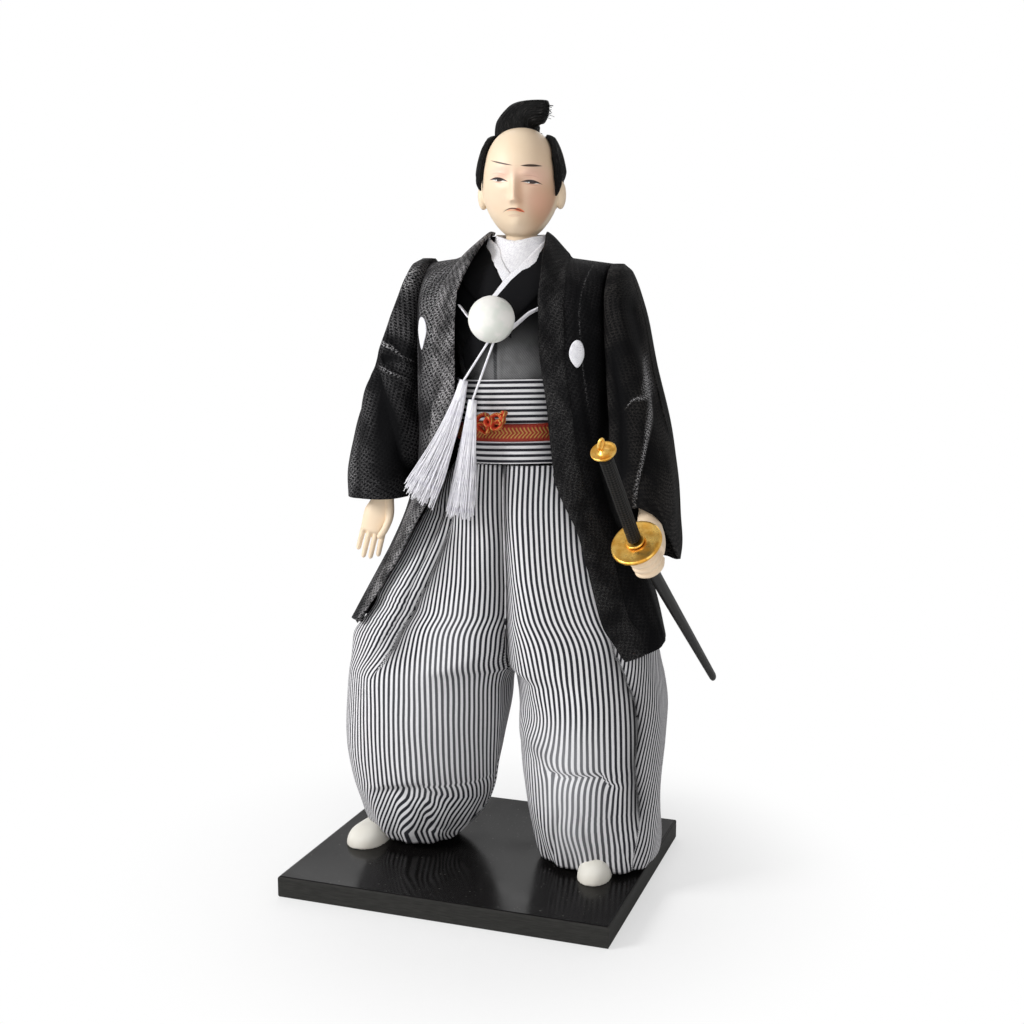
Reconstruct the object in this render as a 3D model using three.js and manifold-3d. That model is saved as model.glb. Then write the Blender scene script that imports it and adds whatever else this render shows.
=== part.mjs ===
// A cloth samurai doll on a lacquered board, in millimetres, +Z up.
// The origin is the centre of the board's underside, and the doll faces -Y.
// Its right side is at -X. The figure group stands on the board's top.
import * as THREE from 'three';
import { mergeVertices } from 'three/addons/utils/BufferGeometryUtils.js';
import Module from 'manifold-3d';

const wasm = await Module();
wasm.setup();

// Board
const boardWidth = 131;
const boardDepth = 108.2;
const boardThickness = 8.4;
const boardEdge = 0.8;
const figureX = 13.5;
const figureY = 2;
const fitGap = 0.3;

// Feet and the wires that carry the figure
const footLength = 31;
const footWidth = 15.5;
const footHeight = 9.5;
const ankleRadius = 6.2;
const ankleHeight = 13;
const ankleShare = 0.24;
const rightFoot = { x: -58.5, toe: -22.6, turn: -8 };
const leftFoot = { x: 33.5, toe: -25.6, turn: 5 };
const legWireRadius = 1.2;
const legWireDepth = 6.4;
const hipX = 10.5;
const calfRadius = 6;
const thighRadius = 9;
const paddingTop = 151;
const hipDepth = 13;

// Trousers: height, middle, half width, front and back of each leg, from its waist to its hem
const waistHeight = 157.7;
const rightLeg = [
  [157.4, 0, 25.5, 22.5, 21], [141.6, 0, 35.5, 24.5, 25.5], [121.6, 0, 48.6, 27, 29],
  [101.6, -1, 59.4, 29, 32], [88, -14, 55.4, 30, 33.5], [80, -28, 42.6, 30.5, 34],
  [75, -36.4, 34.4, 30.5, 34], [68, -38.8, 33.2, 30.5, 34], [60.6, -39.4, 33.3, 30.5, 34],
  [41.6, -40.9, 32.4, 29, 33], [27.6, -41.2, 30.4, 26.5, 31], [17.6, -41.5, 27.3, 24, 28],
  [8.6, -42.8, 22.6, 20.5, 24], [2.6, -43.4, 16.4, 16.5, 18.5],
];
const leftLeg = [
  [157.4, 0, 25.5, 22.5, 21], [141.6, 0, 32.5, 24.5, 25.5], [121.6, 0, 42.5, 27, 29],
  [101.6, 2, 48, 29, 32], [88, 11, 43, 30, 33.5], [80, 21, 35, 30.5, 34],
  [75, 28, 29, 30.5, 34], [60.6, 30.1, 28.5, 30.5, 34], [47.6, 29.9, 28.2, 29.5, 33.5],
  [33.6, 29.8, 27, 27.5, 32], [21.6, 29.6, 25.6, 25, 30], [12, 30.4, 24.5, 22, 27.5],
  [5, 30.5, 22.2, 19.5, 24.5], [1.6, 30.2, 20, 18, 22],
];
const pleatDepth = 1.1;
const pleatCount = 7;
const gatherDepth = 1.6;
const gatherCount = 8;
const gatherHeight = 34;

// Trunk under the coats: height, half width, front and back
const trunk = [
  [157.7, 22.5, 21, 20], [173, 21.5, 20.5, 19], [189, 23, 21, 19.5], [205, 26.5, 21.5, 20],
  [218, 28.5, 20.5, 19], [228, 24, 15.5, 15.5], [230.4, 19, 13.4, 13.4], [232.4, 14, 11.4, 11.4],
  [234.6, 10.4, 9.4, 9.4], [237, 8.3, 8, 8], [240, 7.2, 7.2, 7.2], [244, 6.9, 6.9, 6.9],
];
const trunkTop = trunk[trunk.length - 1][0];
const bendHeight = 218;
const rowGap = 0.5;
const kimonoTop = 235.5;
const kimonoCloth = 1.1;
const coreTop = 231;
const sashTop = 188.5;
const sashCloth = 2.2;
const cordLow = 166.6;
const cordHigh = 172.8;
const cordThickness = 1.3;
const knotAngle = -2;
const knotHalf = { wide: 5.2, high: 3.6, deep: 1.5 };
const layer = 0.5;
const layerGap = 0.5;
const trunkSides = 20;

// Collars: angle from the front, upper edge and lower edge
const underCollar = [
  [-179.4, 242, 234], [-120, 242, 234], [-90, 241.3, 233.5], [-50, 240, 232.5], [-22, 239.2, 229],
  [0, 238.8, 224], [22, 239.2, 229], [50, 240, 232.5], [90, 241.3, 233.5], [120, 242, 234],
  [179.4, 242, 234],
];
const rightCollar = [
  [-179, 241, 234], [-120, 241, 233.5], [-90, 239.4, 232.5], [-66, 236.4, 229.5],
  [-40, 233.4, 225], [-20, 230.6, 218], [-9, 228.4, 211], [0, 223.6, 207], [8, 219, 204],
];
const leftCollar = [
  [179, 241, 234], [120, 241, 234], [90, 239.6, 235], [62, 236.4, 233], [46, 234, 230],
  [30, 232.2, 223], [14, 229.2, 213], [6, 225.4, 209], [-3, 218.8, 204], [-18, 209.6, 197],
  [-34, 200, 192],
];

// Coat: height, half width on the right and on the left, front and back
const coat = [
  [222, 34.8, 34.8, 26.5, 24], [190, 34.8, 34.8, 27, 25.2], [157, 34.8, 34.8, 27.5, 25.6],
  [141.6, 41, 37, 28, 28.5], [121.6, 51.6, 46.5, 30, 32], [101.6, 62.4, 53, 32, 34.6],
  [87.6, 69.8, 57, 33, 36],
];
const coatCloth = 1.1;
const coatSquare = 0.45;
const hemSquare = 0.96;
const shoulderDrop = 18;
const shoulderShare = 0.16;
const ridgeBend = { neck: 1.4, sleeve: 1.1 };
const rowCrowd = 1.5;
const rightShoulder = [[0, 242], [11.5, 242], [17.4, 236.9], [20.7, 234], [24.8, 232.5], [36, 231]];
const leftShoulder = [[0, 243], [9.5, 242.8], [13.6, 238.4], [17.2, 234.3], [19.5, 232.2], [36, 229.8]];
const coatFoldDepth = 2;
const coatFoldCount = 9;
const coatFoldTop = 165;
const neckHalf = 13.5;
const napeTurn = 58;
const seamAngle = 89.8;
const rightOpening = [
  [240, 12.4], [232, 13.6], [222, 15.4], [207, 16.5], [189, 16.5], [173.5, 17.5],
  [160.5, 19.5], [150.5, 22.5], [141.5, 28.5], [119.5, 43], [98.6, 57], [92, 62.5],
];
const leftOpening = [
  [240, 11.6], [232, 14], [222, 15.8], [201.5, 15.8], [182, 18.5], [157, 21.5],
  [135, 28.5], [113, 34.5], [100, 38.5], [92, 43], [84, 47],
];
const lapelWidth = 9;
const lapelThickness = 1.6;
const seamShare = 0.92;
const neckBandAngle = 92;
const rightHem = { edge: 93, side: 91, back: 90 };
const leftHem = { edge: 85, side: 92, back: 90 };
const neckBandLow = 234.5;
const neckBandHigh = 242.5;

// Sleeves: height, inner and outer side, front and back
const shoulderPivot = { x: 36.1, y: 4.6, z: 224 };
const rightSleeve = [
  [232, 36.4, 39.4, 3, 3.5], [229.4, 36.4, 41.6, 10, 10], [220, 36.4, 44.4, 18, 16],
  [206.6, 36.4, 51.6, 20.5, 18.5], [186.6, 36.8, 60.2, 21, 20], [166.6, 37, 66.1, 22, 20.5],
  [150.6, 40.6, 69, 23, 20], [142.4, 43.4, 68.4, 23, 19],
];
const leftSleeve = [
  [230, 36.4, 39, 3, 3.5], [227.4, 36.4, 41, 10, 10], [218, 36.4, 43.4, 18, 15.5],
  [196.6, 36.6, 50.8, 20, 17.5], [177.6, 37.4, 56.2, 21.5, 17.5], [161.6, 38.6, 59.7, 23.5, 16.5],
  [150, 42, 61.2, 25.5, 14.5], [138, 45.5, 61, 21.5, 12.5], [128, 48.5, 61.8, 15, 9],
  [119.5, 51.3, 60.8, 10, 5],
];
const sleeveCloth = 1.3;
const sleeveSquare = 0.8;
const sleeveInnerSquare = 0.55;
const sleeveFoldDepth = 1.3;
const sleeveFoldCount = 5;
const mouthDepth = 14;
const armWireRadius = 1.2;
const wireEnd = 1;
const mouthRadius = 6.4;
const mouthShare = 0.35;
const rightWrist = [-55, -8, 145.4];
const rightTip = [-60.8, -11, 113.8];
const rightElbow = [-55.5, 1, 185];
const leftWrist = [55.8, -17, 140];
const leftElbow = [50.5, 1, 178];

// Hands
const palmLength = 16;
const palmWidth = 10;
const palmThickness = 5.4;
const knuckleShare = 0.84;
const fingerRadius = 1.15;
const fingerLengths = [10.4, 13, 12.6, 10.8];
const thumbLength = 11.5;
const palmAcross = [0.97, 0.24, 0];

// Sword: the scabbard's axis runs down and back from the guard through the left hand
const guardCentre = [54.5, -34, 133.4];
const swordTurn = [0.179, 0.693, -0.698];
const hiltTurn = [-0.077, -0.654, 0.753];
const gripPlace = 8.5;
const scabbardLength = 90;
const scabbardWide = 3.1;
const scabbardThin = 2.1;
const scabbardTip = 0.55;
const gripGap = 0.35;
const guardRadius = 9.5;
const guardThickness = 1.5;
const washerRadius = 3.6;
const washerThickness = 0.9;
const hiltLength = 42;
const hiltWide = 2.9;
const hiltThin = 2.3;
const pommelRadius = 4.4;
const pommelHeight = 3.2;
const ringRadius = 1.5;
const ringWire = 0.5;
const ringTurn = 60;

// Head
const headTurn = 10;
const headColumns = 26;
const headRows = 18;
const headRise = 16;
const headHeight = trunkTop + headRise;
const headHalf = { wide: 14.6, deep: 17.6, high: 20.8 };
const neckRadius = 6;
const neckLow = 231.4;
const pegRadius = 2.6;
const pegLength = 16;
const hairThickness = 1.9;
const hairGap = 0.6;
const topknotSizes = [7.4, 7.6, 6.8, 5.2, 4, 2.8];
const topknotPath = [
  [-1.5, 2, 278.4], [-1.6, 2, 281.3], [-0.6, 1.8, 284.5],
  [2.6, 0.8, 286.3], [6.8, -0.4, 287.2], [10.3, -1.4, 287.6],
];
const earHalf = { wide: 1.9, deep: 2.9, high: 5 };
const earPlace = { y: 1.5, z: -3.6 };

// Cords, ball and tassels of the coat
const ballRadius = 8.8;
const ballCentre = [0.5, -34, 211];
const coatCordWide = 1.6;
const coatCordThick = 0.5;
const tasselCordRadius = 0.45;
const tasselStrands = 10;
const tasselHeadRadius = 2.3;
const tasselSpread = 1.2;
const tasselGroove = 0.16;
const tasselPivot = { right: [-1.6, -30.5, 203.6], left: [0.2, -30.5, 203.4] };
const rightTassel = [
  [-12.6, -30.3, 189], [-14.6, -31, 178], [-18.8, -33, 165], [-25, -34.5, 153], [-31, -35, 144.6],
];
const leftTassel = [[-8.6, -31.4, 179], [-10, -31.4, 165], [-12.6, -31, 150], [-16, -30.5, 136]];
const rightCordPath = [
  [-15.4, -24.6, 215.8], [-13, -25.8, 213.6], [-10.4, -28.5, 211.8], [-7, -32, 210.6],
];
const leftCordPath = [
  [15.2, -24.6, 214.8], [12, -26.4, 213], [8.6, -29, 209.6], [5.6, -32, 206.4],
];

// Crests on the coat: angle from the front and height
const rightCrest = { angle: -46, height: 206.8 };
const leftCrest = { angle: 38, height: 198.8 };
const crestTurn = 9;
const crestHalfHeight = 4.5;
const crestThickness = 0.4;

const degrees = Math.PI / 180;
const mergeReach = 1e-4;

// Value of one column of a table at a height, on a smooth curve through its rows
function tableAt(table, height, column) {
  const rising = table[0][0] < table[table.length - 1][0];
  const rows = rising ? [...table].reverse() : table;
  if (height >= rows[0][0]) {
    return rows[0][column];
  }
  const last = rows.length - 1;
  if (height <= rows[last][0]) {
    return rows[last][column];
  }
  let i = 0;
  while (rows[i + 1][0] > height) {
    i += 1;
  }
  const span = rows[i + 1][0] - rows[i][0];
  const share = (height - rows[i][0]) / span;
  const slope = (a, b) => (rows[b][column] - rows[a][column]) / (rows[b][0] - rows[a][0]);
  const here = slope(i, i + 1);
  const into = i > 0 ? limitedSlope(slope(i - 1, i), here) : here;
  const out = i + 1 < last ? limitedSlope(here, slope(i + 1, i + 2)) : here;
  const s2 = share * share;
  const s3 = s2 * share;
  return (2 * s3 - 3 * s2 + 1) * rows[i][column] + (s3 - 2 * s2 + share) * span * into
    + (3 * s2 - 2 * s3) * rows[i + 1][column] + (s3 - s2) * span * out;
}

// Slope at a row that never overshoots its neighbours
function limitedSlope(a, b) {
  return a * b <= 0 ? 0 : (2 * a * b) / (a + b);
}

function lerp(a, b, share) {
  return a + (b - a) * share;
}

function signedPower(value, power) {
  return Math.sign(value) * Math.abs(value) ** power;
}

// Closed geometry from points and triangles, turned so that its faces point out
function solidFrom(points, faces) {
  let volume = 0;
  for (const [a, b, c] of faces) {
    const [p, q, r] = [points[a], points[b], points[c]];
    volume += p[0] * (q[1] * r[2] - q[2] * r[1]) + p[1] * (q[2] * r[0] - q[0] * r[2])
      + p[2] * (q[0] * r[1] - q[1] * r[0]);
  }
  const index = faces.flatMap(([a, b, c]) => (volume > 0 ? [a, b, c] : [a, c, b]));
  const geometry = new THREE.BufferGeometry();
  geometry.setAttribute('position', new THREE.Float32BufferAttribute(points.flat(), 3));
  geometry.setIndex(index);
  return geometry;
}

// Rings of points joined one to the next, with the first and the last ring closed by a fan
function loft(rings) {
  const count = rings[0].length;
  const points = rings.flat();
  const faces = [];
  for (let j = 0; j < rings.length - 1; j += 1) {
    for (let i = 0; i < count; i += 1) {
      const a = j * count + i;
      const b = j * count + ((i + 1) % count);
      faces.push([a, b, b + count], [a, b + count, a + count]);
    }
  }
  for (const [row, turned] of [[0, true], [rings.length - 1, false]]) {
    const ring = rings[row];
    const middle = [0, 1, 2].map((k) => ring.reduce((sum, p) => sum + p[k], 0) / count);
    const centre = points.push(middle) - 1;
    for (let i = 0; i < count; i += 1) {
      const a = row * count + i;
      const b = row * count + ((i + 1) % count);
      faces.push(turned ? [b, a, centre] : [a, b, centre]);
    }
  }
  return solidFrom(points, faces);
}

// A cloth panel between an outer and an inner surface of (u, v), closed along its four edges
function panel(across, down, outer, inner) {
  const points = [];
  const faces = [];
  const row = across + 1;
  const layerSize = row * (down + 1);
  for (const surface of [outer, inner]) {
    for (let j = 0; j <= down; j += 1) {
      for (let i = 0; i <= across; i += 1) {
        points.push(surface(i / across, j / down));
      }
    }
  }
  for (let j = 0; j < down; j += 1) {
    for (let i = 0; i < across; i += 1) {
      const a = j * row + i;
      const b = a + layerSize;
      faces.push([a, a + 1, a + row + 1], [a, a + row + 1, a + row]);
      faces.push([b, b + row + 1, b + 1], [b, b + row, b + row + 1]);
    }
  }
  const rim = [];
  for (let i = 0; i < across; i += 1) {
    rim.push(i);
  }
  for (let j = 0; j < down; j += 1) {
    rim.push(j * row + across);
  }
  for (let i = across; i > 0; i -= 1) {
    rim.push(down * row + i);
  }
  for (let j = down; j > 0; j -= 1) {
    rim.push(j * row);
  }
  rim.forEach((a, k) => {
    const b = rim[(k + 1) % rim.length];
    faces.push([a, a + layerSize, b + layerSize], [a, b + layerSize, b]);
  });
  return solidFrom(points, faces);
}

// A band that goes all the way round, between an outer and an inner surface of (u, v)
function sleeveBand(around, down, outer, inner) {
  const rings = [];
  for (let j = 0; j <= down; j += 1) {
    rings.push(Array.from({ length: around }, (_, i) => outer(i / around, j / down)));
  }
  for (let j = down; j >= 0; j -= 1) {
    rings.push(Array.from({ length: around }, (_, i) => inner(i / around, j / down)));
  }
  const points = rings.flat();
  const faces = [];
  for (let j = 0; j < rings.length; j += 1) {
    const next = (j + 1) % rings.length;
    for (let i = 0; i < around; i += 1) {
      const a = j * around + i;
      const b = j * around + ((i + 1) % around);
      const c = next * around + i;
      const d = next * around + ((i + 1) % around);
      faces.push([a, b, d], [a, d, c]);
    }
  }
  return solidFrom(points, faces);
}

function toManifold(geometry) {
  if (geometry.userData.solid) {
    return geometry.userData.solid;
  }
  const bare = geometry.clone();
  bare.deleteAttribute('normal');
  bare.deleteAttribute('uv');
  const merged = mergeVertices(bare, mergeReach);
  return new wasm.Manifold(new wasm.Mesh({
    numProp: 3,
    vertProperties: new Float32Array(merged.attributes.position.array),
    triVerts: new Uint32Array(merged.index.array),
  }));
}

function fromManifold(solid) {
  const mesh = solid.getMesh();
  const geometry = new THREE.BufferGeometry();
  geometry.setAttribute('position', new THREE.BufferAttribute(mesh.vertProperties, 3));
  geometry.setIndex(new THREE.BufferAttribute(mesh.triVerts, 1));
  geometry.userData.solid = solid;
  return geometry;
}

function cut(geometry, ...tools) {
  return fromManifold(tools.reduce((solid, t) => solid.subtract(toManifold(t)), toManifold(geometry)));
}

function join(...pieces) {
  return fromManifold(pieces.map(toManifold).reduce((solid, piece) => solid.add(piece)));
}

// A round rod or taper from one point to another
function rod(from, to, startRadius, endRadius = startRadius, sides = 12) {
  const start = new THREE.Vector3(...from);
  const end = new THREE.Vector3(...to);
  const along = end.clone().sub(start);
  const geometry = new THREE.CylinderGeometry(endRadius, startRadius, along.length(), sides);
  const turn = new THREE.Quaternion().setFromUnitVectors(
    new THREE.Vector3(0, 1, 0), along.clone().normalize(),
  );
  geometry.applyQuaternion(turn);
  geometry.translate(...start.add(end).multiplyScalar(0.5).toArray());
  return geometry;
}

// A tapered tube along a smooth path: radius is a function of the share of the way
function pathTube(path, steps, sides, radius, flat = 1) {
  const curve = new THREE.CatmullRomCurve3(path.map((p) => new THREE.Vector3(...p)));
  const frames = curve.computeFrenetFrames(steps, false);
  const rings = [];
  for (let j = 0; j <= steps; j += 1) {
    const centre = curve.getPointAt(j / steps);
    const ring = [];
    for (let i = 0; i < sides; i += 1) {
      const angle = (i / sides) * 2 * Math.PI;
      const r = radius(j / steps);
      ring.push(centre.clone()
        .addScaledVector(frames.normals[j], r * flat * Math.cos(angle))
        .addScaledVector(frames.binormals[j], r * Math.sin(angle)).toArray());
    }
    rings.push(ring);
  }
  return loft(rings);
}

// Point of the trunk at an angle from the front, lifted off it
function trunkPoint(angle, height, lift) {
  const s = Math.sin(angle * degrees);
  const c = Math.cos(angle * degrees);
  const wide = tableAt(trunk, height, 1) + lift;
  const deep = tableAt(trunk, height, c > 0 ? 2 : 3) + lift;
  return [wide * s, -deep * c, height];
}

// Heights of the trunk's rows between two heights, closer together where the shoulders bend
function trunkHeights(low, high) {
  const rows = trunk.map(([height]) => height);
  const between = rows.slice(1).map((height, i) => (height + rows[i]) / 2)
    .filter((height) => height > bendHeight);
  const inside = [...rows, ...between].filter((height) => height > low + rowGap && height < high - rowGap);
  return [low, ...inside.sort((a, b) => a - b), high];
}

// A band of cloth round the trunk between two lifts, between two heights
function trunkBand(low, high, inside, outside) {
  const heights = trunkHeights(low, high);
  const down = heights.length - 1;
  const at = (lift) => (u, v) => trunkPoint(u * 360, heights[Math.round(v * down)], lift);
  return sleeveBand(trunkSides, down, at(outside), at(inside));
}

// A collar laid on the trunk along a table of angle, upper edge and lower edge
function collar(table, inside, across, down) {
  const surface = (lift) => (u, v) => {
    const place = u * (table.length - 1);
    const i = Math.min(Math.floor(place), table.length - 2);
    const [a, b] = [table[i], table[i + 1]];
    const [angle, top, bottom] = [0, 1, 2].map((k) => lerp(a[k], b[k], place - i));
    return trunkPoint(angle, lerp(top, bottom, v), lift);
  };
  return panel(across, down, surface(inside + layer), surface(inside));
}

// One trouser leg's section at a height, kept to its own side of the middle
function legRing(table, side, height, count, grow = 0) {
  const middle = tableAt(table, height, 1);
  const half = tableAt(table, height, 2) + grow;
  const front = tableAt(table, height, 3) + grow;
  const back = tableAt(table, height, 4) + grow;
  const top = table[0][0];
  const hem = table[table.length - 1][0];
  const pleat = pleatDepth * Math.min(1, (top - height) / 30) * Math.max(0, 1 - (top - height) / 110);
  const gather = gatherDepth * Math.max(0, 1 - (height - hem) / gatherHeight) ** 2;
  return Array.from({ length: count }, (_, i) => {
    const angle = (i / count) * 2 * Math.PI;
    const ripple = -pleat * Math.abs(Math.sin(angle * pleatCount / 2))
      - gather * (0.5 + 0.5 * Math.cos(angle * gatherCount));
    const x = middle + (half + ripple) * Math.cos(angle);
    const deep = Math.sin(angle) < 0 ? front : back;
    const y = (deep + ripple) * Math.sin(angle);
    return [side * Math.max(side * x, fitGap / 2), y, height];
  });
}

function trouserLeg(table, side) {
  const rings = [];
  const top = table[0][0];
  const hem = table[table.length - 1][0];
  const steps = 12;
  for (let j = 0; j <= steps; j += 1) {
    const share = j / steps;
    const height = top + (hem - top) * (1 - (1 - share) ** 1.35);
    rings.push(legRing(table, side, height, 26));
  }
  return loft(rings);
}

// Height of the coat's shoulder line at a distance from the middle
function shoulderHeight(line, across) {
  const i = line.findIndex(([x]) => x > across);
  if (i < 0) {
    return line[line.length - 1][1];
  }
  const [a, b] = [line[i - 1], line[i]];
  return lerp(a[1], b[1], (across - a[0]) / (b[0] - a[0]));
}

// The coat is boxy at the shoulders and rounder towards its hem
function squareness(height) {
  const [top, low] = [coat[2][0], coat[4][0]];
  return lerp(coatSquare, hemSquare, Math.max(0, Math.min(1, (top - height) / (top - low))));
}

// Angle from the front at which the coat is a given distance from the middle
function coatAngle(across, height, column) {
  const share = Math.min(1, across / tableAt(coat, height, column));
  return Math.asin(share ** (1 / squareness(height))) / degrees;
}

// Point of the coat at an angle from the front and a share of the way down to the hem.
// The shoulder is a bent slope from the shoulder line, and the rest hangs to the hem.
function coatPoint(angle, down, hem, lift) {
  const s = signedPower(Math.sin(angle * degrees), coatSquare);
  const c = signedPower(Math.cos(angle * degrees), coatSquare);
  const column = s < 0 ? 1 : 2;
  const across = Math.abs(s) * coat[0][column];
  const centre = shoulderHeight(s < 0 ? rightShoulder : leftShoulder, across) - shoulderDrop;
  const nape = c < 0 ? napeTurn * Math.max(0, 1 - Math.max(0, across - neckHalf) / 6) : 0;
  const first = Math.min(1, nape > 0 ? Math.min(1, nape / napeTurn) * nape / 90 : 0);
  let depthShare = 1;
  let height = centre;
  if (down < shoulderShare) {
    const turn = lerp(first * 90, 90, down / shoulderShare) * degrees;
    const fromNeck = Math.max(0, Math.min(1, (across - neckHalf) / (coat[0][column] - neckHalf)));
    const bend = lerp(ridgeBend.neck, ridgeBend.sleeve, fromNeck);
    depthShare = Math.sin(turn) ** bend;
    height = centre + (shoulderDrop + lift) * Math.max(0, Math.cos(turn)) ** bend;
  } else {
    height = lerp(centre, hem, (down - shoulderShare) / (1 - shoulderShare));
  }
  return coatAt(angle, height, lift, depthShare);
}

// Point of the hanging coat at an angle from the front and a height, with folds that grow downwards
function coatAt(angle, height, lift, depthShare = 1) {
  const s = signedPower(Math.sin(angle * degrees), squareness(height));
  const c = signedPower(Math.cos(angle * degrees), squareness(height));
  const folded = Math.max(0, (coatFoldTop - height) / (coatFoldTop - coat[coat.length - 1][0]));
  const fold = coatFoldDepth * folded * (0.5 + 0.5 * Math.cos(angle * degrees * coatFoldCount));
  const wide = tableAt(coat, height, s < 0 ? 1 : 2) + lift + fold;
  const deep = tableAt(coat, height, c > 0 ? 3 : 4) + lift + fold;
  return [wide * s, -deep * c * depthShare - Math.sign(c) * fitGap / 2, height];
}

// A front of the coat from the side seam to the lapel's seam, or the lapel from there to its edge.
// Its rows are crowded towards the shoulder, where the coat bends most.
function coatFront(side, opening, hemline, lapel, thickness, across, down) {
  const column = side < 0 ? 1 : 2;
  const surface = (raise) => (u, row) => {
    const v = row ** rowCrowd;
    const rough = lerp(rightShoulder[1][1], hemline.edge, v);
    const edge = tableAt(opening, rough, 1);
    const seam = Math.min(edge + lapelWidth, tableAt(coat, rough, column) * seamShare);
    const near = lapel ? coatAngle(seam, rough, column) : seamAngle;
    const far = coatAngle(lapel ? edge : seam + fitGap, rough, column);
    const angle = side * lerp(near, far, u);
    const nearSide = Math.abs(angle) / 90;
    const hem = lerp(hemline.edge, hemline.side, Math.max(0, (nearSide - 0.5) * 2));
    return coatPoint(angle, v, hem, raise);
  };
  return panel(across, down, surface(thickness), surface(0));
}

function coatBack(across, down) {
  const surface = (raise) => (u, v) => {
    const angle = lerp(seamAngle - 180, -180 - seamAngle, u);
    const right = u < 0.5;
    const toMiddle = 1 - Math.abs(2 * u - 1);
    const hem = lerp(right ? rightHem.side : leftHem.side, rightHem.back, toMiddle);
    return coatPoint(angle, v ** rowCrowd, hem, raise);
  };
  return panel(across, down, surface(coatCloth), surface(0));
}

// A sleeve's section at a height
function sleeveRing(table, side, height, count, grow) {
  const near = tableAt(table, height, 1) - grow;
  const far = tableAt(table, height, 2) + grow;
  const front = tableAt(table, height, 3) + grow;
  const back = tableAt(table, height, 4) + grow;
  const top = table[0][0];
  const low = table[table.length - 1][0];
  const folded = Math.sin(Math.PI * (top - height) / (top - low)) ** 2;
  return Array.from({ length: count }, (_, i) => {
    const angle = (i / count) * 2 * Math.PI;
    const fold = -sleeveFoldDepth * folded * (0.5 + 0.5 * Math.cos(angle * sleeveFoldCount + height / 14));
    const square = Math.cos(angle) < 0 ? sleeveInnerSquare : sleeveSquare;
    const x = (near + far) / 2 + ((far - near) / 2 + fold) * signedPower(Math.cos(angle), square);
    const deep = Math.sin(angle) < 0 ? front : back;
    return [side * x, (deep + fold) * signedPower(Math.sin(angle), square), height];
  });
}

function sleeve(table, side) {
  const top = table[0][0];
  const low = table[table.length - 1][0];
  const steps = 9;
  const rings = [];
  for (let j = 0; j <= steps; j += 1) {
    rings.push(sleeveRing(table, side, lerp(top, low, j / steps), 20, 0));
  }
  return loft(rings);
}

// Path of an arm's wire from the shoulder to the wrist
function armPath(side, elbow, wrist) {
  return [
    [side * (shoulderPivot.x + 2 * fitGap), shoulderPivot.y, shoulderPivot.z],
    [side * (shoulderPivot.x + 3), shoulderPivot.y, shoulderPivot.z],
    [side * (shoulderPivot.x + 7), shoulderPivot.y, shoulderPivot.z - 6],
    elbow,
    wrist,
  ];
}

// Head surface: a tapering egg with a nose, brow, lips, chin and ears
function headPoint(around, up, grow = 0) {
  const lat = (up - 0.5) * Math.PI;
  const lon = around * 2 * Math.PI;
  const c = Math.cos(lat);
  const s = Math.sin(lat);
  const front = Math.max(0, Math.cos(lon)) * c;
  const low = Math.max(0, -s);
  const jaw = 1 - 0.24 * low ** 1.6;
  const side = Math.sin(lon) * c;
  const bump = (height, place, wide, high, across = 0) => (front > 0 ? height : 0)
    * Math.exp(-(((side - across) / wide) ** 2) - ((s - place) / high) ** 2);
  const nose = bump(2.4, -0.34, 0.11, 0.13) + bump(1.1, -0.12, 0.09, 0.2);
  const sockets = bump(-0.9, 0.02, 0.16, 0.09, 0.3) + bump(-0.9, 0.02, 0.16, 0.09, -0.3);
  const lips = bump(0.7, -0.57, 0.16, 0.06);
  const chin = bump(1.3, -0.86, 0.3, 0.14);
  const back = Math.max(0, -Math.cos(lon));
  const wide = (headHalf.wide + grow) * jaw;
  const deep = (headHalf.deep + grow) * (1 - 0.12 * low * (front > 0 ? 1 : 0) - 0.2 * low * back);
  const face = nose + sockets + lips + chin;
  return [
    wide * c * Math.sin(lon),
    -deep * c * Math.cos(lon) - face,
    headHeight + (headHalf.high + grow) * s,
  ];
}

function headShell(grow, columns, rows) {
  const rings = [];
  for (let j = 1; j < rows; j += 1) {
    rings.push(Array.from({ length: columns }, (_, i) => headPoint(i / columns, j / rows, grow)));
  }
  return loft(rings);
}

// Hair over part of the head, between two lifts
function hairPatch(fromLon, toLon, lowAt, highAt, across, down) {
  const surface = (lift) => (u, v) => {
    const lon = lerp(fromLon, toLon, u) / 360;
    const lat = lerp(highAt(u), lowAt(u), v);
    const edge = Math.min(1, Math.sin(Math.PI * v) * 1.6, Math.sin(Math.PI * u) * 1.6 + 0.35);
    return headPoint(lon, lat / 180 + 0.5, hairGap + lift * hairThickness * (0.35 + 0.65 * edge));
  };
  return panel(across, down, surface(1), surface(0));
}

// Frame of a hand: along its fingers, across its palm, and through it
function handFrame(wrist, tip, across) {
  const along = new THREE.Vector3(...tip).sub(new THREE.Vector3(...wrist)).normalize();
  const through = new THREE.Vector3().crossVectors(along, new THREE.Vector3(...across)).normalize();
  const wide = new THREE.Vector3().crossVectors(through, along).normalize();
  return { origin: new THREE.Vector3(...wrist), along, wide, through };
}

function handPoint(frame, along, wide, through) {
  return frame.origin.clone().addScaledVector(frame.along, along)
    .addScaledVector(frame.wide, wide).addScaledVector(frame.through, through).toArray();
}

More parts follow.
